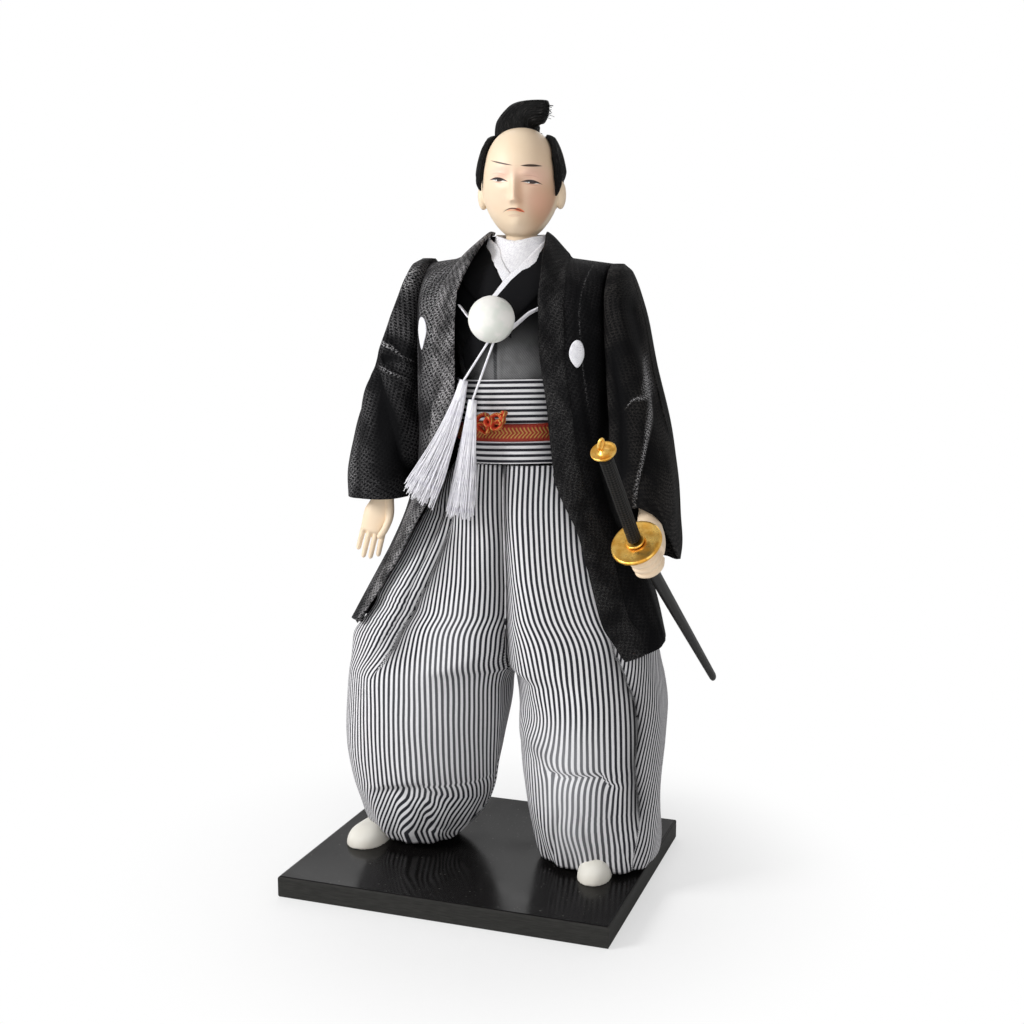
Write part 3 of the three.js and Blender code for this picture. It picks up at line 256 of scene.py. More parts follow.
def make(name, grids, node, finish, body="figure", maps=None, head=False, inside=None,
         wall=0.0, tones=None, cut=None):
    """One object from grids of points in millimetres. A wall gives the thickness of open cloth.
    A tone over 0 makes the cloth paler there, and one under 0 darker. A cut names how a sheet is
    held and what it rests on, which are not used, and maybe how much wider and longer it was cut
    than it lies."""
    corners, places, uvs, start = [], [], [], 0
    maps = maps or [cloth_map(g) for g in grids]
    tones = tones or [np.zeros(g.shape[:2]) for g in grids]
    for points, uv, tone in zip(grids, maps, tones):
        rows, columns = points.shape[:2]
        number = np.arange(rows * columns).reshape(rows, columns) + start
        pick = [(slice(None, -1), slice(None, -1)), (slice(None, -1), slice(1, None)),
                (slice(1, None), slice(1, None)), (slice(1, None), slice(None, -1))]
        corners.append(np.stack([number[p].reshape(-1) for p in pick], 1))
        uvs.append(np.stack([uv[p].reshape(-1, 2) for p in pick], 1))
        row = np.concatenate((placed(points, head), tone[..., None] + 0 * points[..., :1]), -1)
        places.append(row.reshape(-1, 4))
        start += rows * columns
    points, quads, quad_uv, triangles, triangle_uv = welded(
        np.concatenate(places), np.concatenate(corners), np.concatenate(uvs))
    points, tone = points[:, :3], points[:, 3]
    middle = placed(np.array(inside, float), head) if inside is not None else points.mean(0)
    if not outward(points, quads, triangles, middle):
        quads, quad_uv = quads[:, ::-1], quad_uv[:, ::-1]
        triangles, triangle_uv = triangles[:, ::-1], triangle_uv[:, ::-1]
    mesh = bpy.data.meshes.new(name)
    mesh.vertices.add(len(points))
    mesh.vertices.foreach_set("co", points.astype(np.float32).ravel())
    loops = np.concatenate((quads.ravel(), triangles.ravel())).astype(np.int32)
    mesh.loops.add(len(loops))
    mesh.loops.foreach_set("vertex_index", loops)
    starts = np.concatenate((np.arange(len(quads)) * 4,
                             len(quads) * 4 + np.arange(len(triangles)) * 3)).astype(np.int32)
    mesh.polygons.add(len(starts))
    mesh.polygons.foreach_set("loop_start", starts)
    mesh.update(calc_edges=True)
    layer = mesh.uv_layers.new(name="cloth")
    spread = np.concatenate((quad_uv.reshape(-1, 2), triangle_uv.reshape(-1, 2)))
    layer.data.foreach_set("uv", spread.astype(np.float32).ravel())
    shade = mesh.attributes.new("tone", "FLOAT", "POINT")
    shade.data.foreach_set("value", tone.astype(np.float32))
    mesh.polygons.foreach_set("use_smooth", np.full(len(starts), True))
    mesh.validate()
    piece = bpy.data.objects.new(name, mesh)
    bpy.context.scene.collection.objects.link(piece)
    piece.data.materials.append(finish)
    if wall:
        thick = piece.modifiers.new("wall", "SOLIDIFY")
        thick.thickness = wall * MM
        thick.offset = -1
        thick.use_even_offset = False
    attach(piece, body)
    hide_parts(node)
    if cut:
        lay_flat(piece, grids[0], *cut)
    return piece


def lay_flat(piece, points, held, rests, wider=1.0, longer=1.0):
    """Works out a sheet's flat size, its mean size along the cloth times how much wider and longer it
    was cut, and the share of it that the points cover, but keeps none of it"""
    wide, long, area = cloth_size(points)
    flat = (wide * wider, long * longer)
    share = min(1.0, area / (wide * long))
    share * flat[0] * flat[1]


def cloth_size(points):
    """Mean length along the rows, mean length down the columns and whole area, in metres"""
    along = np.diff(points, axis=1)
    down = np.diff(points, axis=0)
    wide = np.linalg.norm(along, axis=-1).sum(1).mean() * MM
    long = np.linalg.norm(down, axis=-1).sum(0).mean() * MM
    area = np.linalg.norm(np.cross(along[:-1], down[:, :-1]), axis=-1).sum() * MM * MM
    return float(wide), float(long), float(area)


def fused(piece, voxel, passes):
    """The overlapping forms of a piece become one skin of small voxels, then are smoothed"""
    skin = piece.modifiers.new("skin", "REMESH")
    skin.mode = "VOXEL"
    skin.voxel_size = voxel * MM
    skin.use_smooth_shade = True
    calm = piece.modifiers.new("calm", "SMOOTH")
    calm.factor = 0.5
    calm.iterations = passes
    return piece


# Materials

class Value:
    """One output of a node. Sums, products and powers of it add Math nodes."""

    def __init__(self, paint, socket):
        self.paint = paint
        self.socket = socket

    def math(self, operation, *others):
        values = dict(enumerate((self,) + others))
        return self.paint.node("ShaderNodeMath", {"operation": operation}, values)

    def __add__(self, other):
        return self.math("ADD", other)

    def __sub__(self, other):
        return self.math("SUBTRACT", other)

    def __rsub__(self, other):
        return self.paint.node("ShaderNodeMath", {"operation": "SUBTRACT"}, {0: other, 1: self})

    def __mul__(self, other):
        return self.math("MULTIPLY", other)

    def __truediv__(self, other):
        return self.math("DIVIDE", other)

    def __pow__(self, other):
        return self.math("POWER", other)

    def __abs__(self):
        return self.math("ABSOLUTE")

    __radd__ = __add__
    __rmul__ = __mul__


class Nodes:
    """The nodes of a material or of the world"""

    def __init__(self, owner):
        owner.use_nodes = True
        self.tree = owner.node_tree

    def node(self, kind, settings=None, sockets=None, output=0):
        made = self.tree.nodes.new(kind)
        for key, value in (settings or {}).items():
            if key == "stops":
                ramp = made.color_ramp.elements
                while len(ramp) < len(value):
                    ramp.new(0.5)
                for stop, (place, colour) in zip(ramp, value):
                    stop.position = place
                    stop.color = colour + (1,)
            else:
                setattr(made, key, value)
        for key, value in (sockets or {}).items():
            self.fill(made.inputs[key], value)
        return Value(self, made.outputs[output])

    def fill(self, socket, value):
        if isinstance(value, Value):
            self.tree.links.new(value.socket, socket)
        elif hasattr(value, "__len__") and socket.type == "RGBA" and len(value) == 3:
            socket.default_value = tuple(value) + (1,)
        else:
            socket.default_value = value


class Paint(Nodes):
    """A material being mixed: its nodes, and its shader's sockets"""

    def __init__(self, name, **sockets):
        self.material = bpy.data.materials.new(name)
        super().__init__(self.material)
        self.shader = self.tree.nodes["Principled BSDF"]
        self.set(**sockets)

    def set(self, **sockets):
        for key, value in sockets.items():
            self.fill(self.shader.inputs[key.replace("_", " ")], value)
        return self.material

    def place(self, kind="Object"):
        return self.node("ShaderNodeTexCoord", output=kind)

    def cloth(self):
        """u and v: millimetres along the cloth and down it"""
        return self.parts(self.place("UV"))[:2]

    def pale_and_dim(self):
        """The tone where it is over 0, and 1 + tone where it is under 0. The tone holds the painted
        light and shade of the cloth pieces, and a dark line beside the robe's seam
        """
        tone = self.node("ShaderNodeAttribute", {"attribute_name": "tone"}, output="Fac")
        return tone.math("MAXIMUM", 0.0), (tone + 1.0).math("MINIMUM", 1.0).math("MAXIMUM", 0.0)

    def toned(self, colour, light):
        """The colour times 1 + tone where the tone is under 0, as painted shade, and blended to light
        over 0, as painted light
        """
        pale, dim = self.pale_and_dim()
        dark = self.node("ShaderNodeVectorMath", {"operation": "SCALE"}, {0: colour, 3: dim})
        return self.blend(pale, dark, light)

    def parts(self, vector):
        made = self.tree.nodes.new("ShaderNodeSeparateXYZ")
        self.tree.links.new(vector.socket, made.inputs[0])
        return [Value(self, socket) for socket in made.outputs]

    def vector(self, x, y, z=0.0):
        return self.node("ShaderNodeCombineXYZ", None, {0: x, 1: y, 2: z})

    def blend(self, share, first, second):
        return self.node("ShaderNodeMix", {"data_type": "RGBA"}, {0: share, 6: first, 7: second}, 2)

    def noise(self, vector, scale, detail=3.0, rough=0.5):
        if isinstance(vector, tuple):
            vector = self.vector(*vector)
        return self.node("ShaderNodeTexNoise", None, {
            "Vector": vector, "Scale": scale, "Detail": detail, "Roughness": rough})

    def rise(self, value, low, high, least=0.0, most=1.0):
        return self.node("ShaderNodeMapRange", {"interpolation_type": "SMOOTHSTEP"}, {
            "Value": value, "From Min": low, "From Max": high, "To Min": least, "To Max": most})

    def wave(self, value, period):
        """sin(2 pi value / period)"""
        return (value * (math.tau / period)).math("SINE")

    def bump(self, height, distance, strength):
        """Height 1 stands out by the distance in millimetres"""
        return self.node("ShaderNodeBump", None, {
            "Height": height, "Distance": distance * MM, "Strength": strength})


STRIPE, SASH_STRIPE = 2.15, 2.07


def weave(paint, u, v, thread):
    """Over-and-under threads: the product of a sine across and a sine down"""
    return paint.wave(u, thread) * paint.wave(v, thread)


def striped_cotton(name, across, period):
    """Black and off-white stripes of equal width with fuzzy edges, on a plain weave"""
    paint = Paint(name, Roughness=0.86, Specular_IOR_Level=0.15)
    u, v = paint.cloth()
    if across:
        u, v = v, u
    fuzz = paint.noise((u * 1.3, v * 2.2), 3.0, 2.0) - 0.5
    line = paint.wave(u + fuzz * 0.16, period)
    white = paint.rise(line, -0.34, 0.38)
    slub = paint.noise((u * 4.0, v * 0.5), 1.0, 2.0)
    light = paint.blend(slub, (0.66, 0.65, 0.68), (0.86, 0.85, 0.86))
    dark = paint.blend(slub, (0.008, 0.008, 0.012), (0.034, 0.034, 0.042))
    threads = weave(paint, u, v, 0.42)
    grain = paint.rise(threads, -0.6, 0.7, 0.82, 1.0)
    colour = paint.blend(white, dark, light)
    shaded = paint.node("ShaderNodeMix", {"data_type": "RGBA", "blend_type": "MULTIPLY"}, {
        0: 1.0, 6: colour, 7: paint.blend(grain, (0.6, 0.6, 0.6), (1, 1, 1))}, 2)
    height = threads * 0.5 + white * 0.3 + fuzz * 0.4
    return paint.set(Base_Color=paint.toned(shaded, (0.80, 0.81, 0.84)),
                     Normal=paint.bump(height, 0.06, 0.5))


def black_cotton():
    """Dull black cotton: visible crossing threads, a little greyer than their gaps where a painted
    sheen lights them, which grows in from 34 to 52 mm down the cloth and is patchy in clouds
    """
    paint = Paint("black_cotton", Roughness=0.85, Specular_IOR_Level=0.06)
    u, v = paint.cloth()
    threads = weave(paint, u, v, 0.62)
    cloud = paint.noise((u, v), 0.16, 3.0)
    speck = paint.noise((u * 2.0, v * 2.0), 1.6, 2.0)
    lit = paint.rise(v, 34.0, 52.0) * paint.rise(cloud, 0.30, 0.60, 0.35, 1.0)
    grey = paint.rise(threads + speck, 0.1, 1.1) * lit
    colour = paint.blend(grey, (0.008, 0.008, 0.009), (0.19, 0.19, 0.195))
    return paint.set(Base_Color=paint.toned(colour, (0.5, 0.5, 0.5)),
                     Normal=paint.bump(threads + speck, 0.10, 0.5))


def brocade(name, painted_sheen, dots):
    """Black figured weave: rows of small dark eyelets, offset row by row, in a ground whose fine
    slanting threads are flecked with a painted sheen of the given colour, and with painted glints
    where the tone is over 0"""
    paint = Paint(name, Roughness=0.66, Specular_IOR_Level=0.03)
    u, v = paint.cloth()
    bent = paint.noise((u, v), 0.25, 2.0) * 1.2
    cells = paint.wave(u + v * 0.5 + bent, 2.6) * paint.wave(v - u * 0.25 + bent, 2.1)
    eyelet = paint.rise(cells, 0.16, 0.46)
    threads = paint.wave(v + u * 0.35, 0.42)
    cloud = paint.noise((u, v * 0.8), 0.10, 3.0)
    speck = paint.noise((u, v), 2.4, 2.0)
    shine = paint.rise(speck, 0.34, 0.78) * (1 - eyelet * dots)
    shine = shine * paint.rise(cloud, 0.36, 0.62, 0.25, 1.0)
    # Painted light and shade from the tone: over 0 it adds painted glints, under 0 it dims the painted
    # sheen
    pale, dim = paint.pale_and_dim()
    glint = paint.rise(speck, 0.46, 0.64) * (1 - eyelet * dots) * pale
    shine = shine * dim
    colour = paint.blend(shine, (0.004, 0.004, 0.0045), painted_sheen)
    colour = paint.blend(glint, colour, (0.55, 0.54, 0.55))
    height = threads * 0.35 - eyelet * 0.9 + speck
    return paint.set(Base_Color=colour, Normal=paint.bump(height, 0.12, 0.5))


def plain_thread(name, colour, shade, across, along, rough):
    """Threads that run along the piece: bright backs and darker gaps between them"""
    paint = Paint(name, Roughness=rough)
    u, v = paint.cloth()
    thread = paint.noise((u * across, v * along), 1.0, 3.0)
    mask = paint.rise(thread, 0.32, 0.62)
    return paint.set(Base_Color=paint.blend(mask, shade, colour), Sheen_Weight=0.25,
                     Normal=paint.bump(thread, 0.10, 0.7))


def gold_and_red_braid(name, light):
    """Flat braid: gold chevrons in the middle, red threads with gold flecks at both edges. Light
    scales the red and gold, so that a copy can be painted lighter, as lit
    """
    paint = Paint(name, Roughness=0.6, Specular_IOR_Level=0.3)
    u, v = paint.cloth()
    slant = abs(v) * 0.9
    chevron = paint.wave(u + slant, 1.45)
    gold = paint.rise(chevron, -0.1, 0.6) * paint.rise(abs(v), 1.7, 2.2, 1.0, 0.0)
    fleck = paint.noise((u * 1.4, v * 2.0), 2.2, 2.0)
    red = paint.blend(fleck, (0.13 * light, 0.008, 0.006), (0.42 * light, 0.04 * light, 0.018))
    bright = paint.blend(fleck, (0.30, 0.13, 0.025), (0.60 * light, 0.36 * light, 0.10 * light))
    height = chevron * 0.6 + fleck
    return paint.set(Base_Color=paint.blend(gold, red, bright), Metallic=gold * 0.35,
                     Normal=paint.bump(height, 0.15, 0.7))


def black_lacquer():
    """Black lacquer: a glossy top with fine dust specks, and dull dark grey edges with wood grain"""
    paint = Paint("black_lacquer", Specular_IOR_Level=0.09)
    spot = paint.place()
    x, y, z = paint.parts(spot)
    top = paint.rise(z, (BOARD_TOP - 0.3) * MM, (BOARD_TOP - 0.1) * MM)
    dust = paint.noise(spot, 900.0, 2.0)
    speck = paint.rise(dust, 0.70, 0.78)
    cloud = paint.noise(spot, 45.0, 3.0)
    grain = paint.noise((x * 0.08, y * 0.08, z), 2600.0, 3.0)
    edge = paint.blend(grain, (0.012, 0.012, 0.0115), (0.042, 0.041, 0.038))
    face = paint.blend(speck, (0.006, 0.0055, 0.0055), (0.10, 0.10, 0.09))
    rough = paint.rise(cloud, 0.3, 0.7, 0.13, 0.22) * top + (1 - top) * 0.55 + speck * 0.3
    return paint.set(Base_Color=paint.blend(top, edge, face), Roughness=rough,
                     Normal=paint.bump(cloud + grain * 0.2, 0.05, 0.25))


def sock_cotton():
    """Off-white knit: fine ribs along the foot, warmer towards the sole"""
    paint = Paint("white_sock", Roughness=0.92)
    spot = paint.place()
    x, _, z = paint.parts(spot)
    ribs = paint.wave(x, 0.00045) * paint.wave(z, 0.0006)
    cloud = paint.noise(spot, 220.0, 4.0)
    low = paint.rise(z, (BOARD_TOP + 0.1) * MM, (BOARD_TOP + 5.1) * MM, 1.0, 0.0)
    base = paint.blend(cloud, (0.72, 0.69, 0.61), (0.84, 0.82, 0.76))
    colour = paint.blend(low * 0.35, base, (0.60, 0.54, 0.45))
    return paint.set(Base_Color=colour, Normal=paint.bump(ribs + cloud * 2, 0.05, 0.5),
                     Sheen_Weight=0.2)


def ball_cloth():
    """Off-white silk drawn tight over a ball: fine threads round it and a faint cloudy tint"""
    paint = Paint("ball_cloth", Roughness=0.7)
    spot = paint.place()
    u, v = paint.cloth()
    cloud = paint.noise(spot, 160.0, 2.0)
    threads = weave(paint, u, v, 0.5)
    tint = paint.blend(paint.rise(cloud, 0.4, 0.6), (0.76, 0.78, 0.72), (0.86, 0.84, 0.80))
    return paint.set(Base_Color=tint, Normal=paint.bump(threads + cloud, 0.04, 0.4),
                     Sheen_Weight=0.3)


def black_hair():
    """Combed black thread: fine lines along each lock, with glossy backs painted paler as highlights
    """
    paint = Paint("black_hair", Specular_IOR_Level=0.10)
    u, v = paint.cloth()
    fine = paint.noise((u * 9.0, v * 0.35), 1.0, 4.0, 0.65)
    lock = paint.noise((u * 1.6, v * 0.12), 1.0, 2.0)
    shine = paint.rise(fine, 0.54, 0.74)
    colour = paint.blend(shine, (0.003, 0.003, 0.003), (0.105, 0.096, 0.092))
    return paint.set(Base_Color=colour, Normal=paint.bump(fine * 1.4 + lock, 0.28, 0.9),
                     Roughness=paint.rise(fine, 0.3, 0.7, 0.55, 0.38))


def gold_metal():
    """Stamped gilt: brighter and darker clouds, small pits and fine scratches"""
    paint = Paint("gold_metal", Metallic=1.0)
    spot = paint.place()
    cloud = paint.noise(spot, 260.0, 4.0)
    pit = paint.noise(spot, 1400.0, 3.0)
    wear_and_sheen = paint.rise(cloud, 0.35, 0.65)
    colour = paint.blend(wear_and_sheen, (0.72, 0.36, 0.055), (1.0, 0.64, 0.17))
    dull = paint.rise(pit, 0.55, 0.8)
    return paint.set(Base_Color=paint.blend(dull * 0.6, colour, (0.35, 0.16, 0.03)),
                     Roughness=paint.rise(cloud, 0.3, 0.7, 0.42, 0.26),
                     Normal=paint.bump(cloud + pit * 0.7, 0.10, 0.5))


def black_wrap():
    """Black cord wound on the bias: two crossing ridges with fine fibres"""
    paint = Paint("black_wrap", Roughness=0.6, Specular_IOR_Level=0.12)
    u, v = paint.cloth()
    one = paint.wave(u + v, 2.2)
    other = paint.wave(u - v, 2.2)
    ridge = paint.rise(one * other, -0.3, 0.5)
    fibre = paint.noise((u * 5.0, v * 1.5), 1.0, 3.0)
    colour = paint.blend(ridge * fibre, (0.006, 0.006, 0.006), (0.045, 0.043, 0.040))
    return paint.set(Base_Color=colour, Normal=paint.bump(ridge + fibre * 0.5, 0.2, 0.7))


def black_gloss():
    """Painted black wood with faint brush lines along it and rubbed edges"""
    paint = Paint("black_gloss", Specular_IOR_Level=0.3)
    u, v = paint.cloth()
    brush = paint.noise((u * 2.5, v * 0.12), 1.0, 3.0)
    wear_and_sheen = paint.rise(paint.noise((u, v), 0.6, 4.0), 0.62, 0.75)
    colour = paint.blend(wear_and_sheen, (0.012, 0.0115, 0.011), (0.050, 0.046, 0.042))
    return paint.set(Base_Color=colour, Roughness=paint.rise(brush, 0.3, 0.7, 0.34, 0.5),
                     Normal=paint.bump(brush, 0.06, 0.4))


def iron_wire():
    """Drawn wire: grey with darker scale and fine lines"""
    paint = Paint("iron_wire", Metallic=1.0)
    spot = paint.place()
    scale = paint.noise(spot, 900.0, 4.0)
    return paint.set(Base_Color=paint.blend(scale, (0.16, 0.15, 0.14), (0.50, 0.49, 0.47)),
                     Roughness=paint.rise(scale, 0.3, 0.7, 0.55, 0.35),
                     Normal=paint.bump(scale, 0.05, 0.4))


def grained(name, rough, light, dark, stretch, noise, bump, edges=None):
    """One noise, stretched sideways and upwards: light on its backs and dark between them"""
    paint = Paint(name, Roughness=rough)
    x, y, z = paint.parts(paint.place())
    grain = paint.noise((x * stretch[0], y * stretch[0], z * stretch[1]), *noise)
    share = paint.rise(grain, *edges) if edges else grain
    return paint.set(Base_Color=paint.blend(share, dark, light), Normal=paint.bump(grain, *bump))


def eye(x, z, slope):
    """The white, the pupil, the upper lid, a painted glint, the lower lid and the fold above"""
    return [
        ((x, z - 0.15, slope, 0.0, 3.0, 0.40), 1.0, (0.80, 0.76, 0.72)),
        ((x + 0.2, z - 0.05, 1.5, 0.58, 0.25), 1.0, (0.030, 0.012, 0.008)),
        ((x, z + 0.42, slope, -0.055, 3.9, 0.50), 1.0, (0.012, 0.004, 0.003)),
        # a painted glint: a white spot standing in for a reflection
        ((x - 0.9, z - 0.1, 0.26, 0.20, 0.3), 1.0, (0.9, 0.9, 0.9)),
        ((x, z - 0.95, slope, 0.03, 2.6, 0.20), 0.5, (0.45, 0.13, 0.08)),
        ((x, z + 2.3, slope, -0.06, 3.4, 0.16), 0.5, (0.55, 0.26, 0.18)),
    ]


# The face's marks in the order of painting: numbers, strength and colour. A spot has five numbers
# (place, width, height and softness), a stroke six (place, slope, bend, half length and width).
# First a painted shadow at the left of the nose, then a reddish spot low on the left cheek, pink above
# both eyes and blush on both cheeks
SHADE_AND_BLUSH = [
    ((1.9, 256.0, 1.5, 6.5, 0.8), 0.60, (0.60, 0.32, 0.17)),
    ((8.2, 252.0, 3.4, 4.6, 0.9), 0.35, (0.84, 0.40, 0.28)),
    ((-5.2, 263.2, 4.6, 3.2, 0.9), 0.50, (0.90, 0.50, 0.42)),
    ((6.4, 262.6, 4.6, 3.2, 0.9), 0.50, (0.90, 0.50, 0.42)),
    ((-6.0, 256.0, 5.5, 4.5, 0.9), 0.30, (0.88, 0.50, 0.38)),
    ((6.8, 255.4, 5.5, 4.5, 0.9), 0.30, (0.88, 0.50, 0.38)),
]
EYES = eye(-6.0, 260.9, -0.13) + eye(6.1, 259.9, -0.10)
BROWS = [
    ((-5.1, 266.8, -0.26, 0.010, 4.9, 0.34), 1.0, (0.045, 0.022, 0.012)),
    ((6.0, 265.8, 0.02, -0.004, 3.9, 0.50), 1.0, (0.045, 0.022, 0.012)),
]
LIPS = [
    ((-0.9, 250.2, -0.03, -0.06, 3.0, 0.36), 0.6, (0.86, 0.36, 0.20)),
    ((1.6, 250.2, -0.28, -0.06, 1.9, 0.60), 1.0, (0.80, 0.17, 0.07)),
    ((-0.8, 250.75, -0.03, -0.085, 4.4, 0.26), 1.0, (0.09, 0.02, 0.01)),
    # the last is a brownish mark just below the lower lip
    ((-0.6, 248.3, 0.0, 0.0, 2.6, 0.55), 0.35, (0.62, 0.38, 0.26)),
]


def painted_skin(name, face):
    """Chalk paint over a smooth form. On the face: painted shade, darker and warmer towards the face's
    left side and low down; and brows, lidded eyes, lips and a pink blush, each a stroke whose
    middle line is a parabola in the face's own x."""
    paint = Paint(name, Roughness=0.5)
    spot = paint.place()
    cloud = paint.noise(spot, 120.0, 3.0)
    fine = paint.noise(spot, 1500.0, 2.0)
    skin = paint.blend(cloud, (0.80, 0.62, 0.43), (0.86, 0.70, 0.52))
    rough = paint.rise(fine, 0.3, 0.7, 0.52, 0.44)
    bump = paint.bump(fine + cloud * 2, 0.03, 0.3)
    if not face:
        return paint.set(Base_Color=skin, Roughness=rough, Normal=bump)
    centre = tuple((FIGURE * MM).tolist())
    moved = paint.node("ShaderNodeVectorMath", {"operation": "SUBTRACT"}, {0: spot, 1: centre})
    turned = paint.node("ShaderNodeMapping", {"vector_type": "POINT"}, {
        "Vector": moved, "Rotation": (0, 0, -HEAD_TURN), "Scale": (1000, 1000, 1000)})
    x, y, z = paint.parts(turned)
    front = paint.rise(y, -6.0, -3.0, 1.0, 0.0)

    def stroke(x0, z0, slope, bend, half, width, soft=0.12):
        """1 within half of x0 and within width of z0 + slope (x - x0) + bend (x - x0)^2"""
        across = x - x0
        middle = across * slope + across * across * bend + z0
        taper = (1 - (across / half) ** 2.0).math("MAXIMUM", 0.0)
        return paint.rise(taper * width - abs(z - middle), -soft * 0.3, soft) * front

    def spotted(x0, z0, wide, high, soft):
        """1 at the middle of an oval, fading to 0 over soft past its rim"""
        reach = (((x - x0) / wide) ** 2.0 + ((z - z0) / high) ** 2.0).math("SQRT")
        return paint.rise(reach, 1.0 - soft, 1.0 + soft, 1.0, 0.0) * front

    # Painted shade: darker and warmer towards the face's left side, away from the key lamp, and lower
    # down
    shade = paint.rise(x, -2.0, 13.0) * paint.rise(z, 252.0, 268.0, 1.0, 0.35) * front
    colour = paint.blend(shade * 0.85, skin, (0.50, 0.25, 0.12))
    for numbers, strength, tint in SHADE_AND_BLUSH + EYES + BROWS + LIPS:
        mark = spotted(*numbers) if len(numbers) == 5 else stroke(*numbers)
        colour = paint.blend(mark * strength, colour, tint)
    return paint.set(Base_Color=colour, Roughness=rough, Normal=bump)


# Camera, light and floor

CAMERA_AT, CAMERA_DOWN, CAMERA_TURN, FOCAL_PIXELS = (0.183, -0.491, 0.224), 8.59, 19.36, 1363
LAMPS = [("key", (-0.90, -0.80, 0.75), 0.45, 14.0), ("fill", (0.60, -1.10, 0.22), 0.9, 5.0),
         ("back", (-0.2, 0.9, 0.9), 0.9, 4.0)]
AIM = np.array([0.013, 0.0, 0.15])
FLOOR_HALF = 6.0


def stage():
    """The camera of the photograph, three soft lamps, a pale world and a pale floor that keeps
    the shadow and fades to white away from the board"""
    scene = bpy.context.scene
    scene.view_settings.view_transform = "Standard"
    camera = bpy.data.objects.new("camera", bpy.data.cameras.new("camera"))
    camera.data.sensor_width = 36
    camera.data.lens = FOCAL_PIXELS / 1024 * 36
    camera.data.clip_start = 0.01
    camera.location = CAMERA_AT
    camera.rotation_euler = (math.radians(90 - CAMERA_DOWN), 0, math.radians(CAMERA_TURN))
    scene.collection.objects.link(camera)
    scene.camera = camera
    for name, place, size, power in LAMPS:
        light = bpy.data.lights.new(name, "AREA")
        light.size = size
        light.energy = power
        lamp = bpy.data.objects.new(name, light)
        lamp.location = place
        aim = AIM - np.array(place)
        flat = math.hypot(aim[0], aim[1])
        lamp.rotation_euler = (math.atan2(flat, -aim[2]), 0, math.atan2(-aim[0], aim[1]))
        scene.collection.objects.link(lamp)
    scene.world = bpy.data.worlds.new("studio")
    sky = Nodes(scene.world)
    seen, through, glossy = [sky.node("ShaderNodeLightPath", output=f"Is {kind} Ray")
                             for kind in ("Camera", "Transmission", "Glossy")]
    ground = sky.tree.nodes["Background"]
    sky.fill(ground.inputs["Color"], (1, 1, 1))
    sky.fill(ground.inputs["Strength"],
             glossy * 0.22 + (seen.math("MAXIMUM", through) * 0.62 + 0.38))

    paint = Paint("floor", Roughness=0.9)
    x, y, _ = paint.parts(paint.place())
    cloud = paint.noise(paint.place(), 40.0, 3.0)
    paint.set(Base_Color=paint.blend(cloud, (0.90, 0.90, 0.90), (0.93, 0.93, 0.93)))
    far = paint.rise((x * x + y * y).math("SQRT"), 0.07, 0.16)
    seen = paint.node("ShaderNodeLightPath", output="Is Camera Ray")
    white = paint.node("ShaderNodeEmission", None, {"Color": (1, 1, 1), "Strength": 1.0})
    both = paint.node("ShaderNodeMixShader", None, {
        0: (far * 0.45 + 0.55) * seen, 1: Value(paint, paint.shader.outputs[0]), 2: white})
    paint.fill(paint.tree.nodes["Material Output"].inputs["Surface"], both)
    mesh = bpy.data.meshes.new("floor")
    mesh.from_pydata([(x * FLOOR_HALF, y * FLOOR_HALF, 0)
                      for x, y in ((-1, -1), (1, -1), (1, 1), (-1, 1))], [], [(0, 1, 2, 3)])
    floor = bpy.data.objects.new("floor", mesh)
    floor.data.materials.append(paint.material)
    scene.collection.objects.link(floor)


stage()

SKIN = painted_skin("painted_skin", False)
FACE = painted_skin("painted_face", True)
STRIPES = striped_cotton("striped_cotton", False, STRIPE)
SASH_STRIPES = striped_cotton("sash_cotton", True, SASH_STRIPE)
KIMONO = black_cotton()
# One brocade in lit and shaded copies: the doll's right side, towards the key lamp, gets a bright
# painted sheen; its left side, the coat's back and the neck band get a dim one
COAT = {"right": brocade("coat_brocade_painted_lit", (0.25, 0.243, 0.25), 0.95),
        "left": brocade("coat_brocade_painted_dim", (0.030, 0.029, 0.030), 0.8)}
LAPEL_CLOTH = {"right": brocade("lapel_brocade_painted_lit", (0.62, 0.60, 0.61), 0.85),
               "left": brocade("lapel_brocade_painted_dim", (0.070, 0.068, 0.068), 0.6)}
SLEEVE = {"right": brocade("sleeve_brocade_painted_lit", (0.15, 0.146, 0.15), 1.0),
          "left": brocade("sleeve_brocade_painted_dim", (0.065, 0.060, 0.056), 0.9)}
WHITE = plain_thread("white_cotton", (0.84, 0.84, 0.86), (0.62, 0.61, 0.66), 2.0, 2.0, 0.8)
SILK = plain_thread("white_silk", (0.92, 0.91, 0.94), (0.66, 0.65, 0.72), 3.0, 0.3, 0.45)
BRAID = gold_and_red_braid("red_gold_braid", 1.0)
# The knot's copy of the braid is painted 1.7 times lighter, as lit, than the braid round the sash
KNOT_PAINTED_LIT = gold_and_red_braid("red_gold_knot_painted_lit", 1.7)
SOCK = sock_cotton()
BALL = ball_cloth()
HAIR = black_hair()
GOLD = gold_metal()
WRAP = black_wrap()
GLOSS = black_gloss()
WIRE = iron_wire()
WADDING = grained("wadding", 0.95, (0.86, 0.84, 0.78), (0.62, 0.59, 0.52), (1.0, 0.15),
                  (900.0, 5.0, 0.7), (0.5, 0.8), (0.35, 0.65))
STRAW = grained("straw", 0.95, (0.74, 0.62, 0.36), (0.40, 0.30, 0.14), (1.0, 0.15),
                (1200.0, 5.0, 0.7), (0.3, 0.8), (0.35, 0.65))
WOOD = grained("plain_wood", 0.6, (0.66, 0.50, 0.32), (0.42, 0.28, 0.15), (4.0, 0.3),
               (500.0, 4.0), (0.08, 0.4))

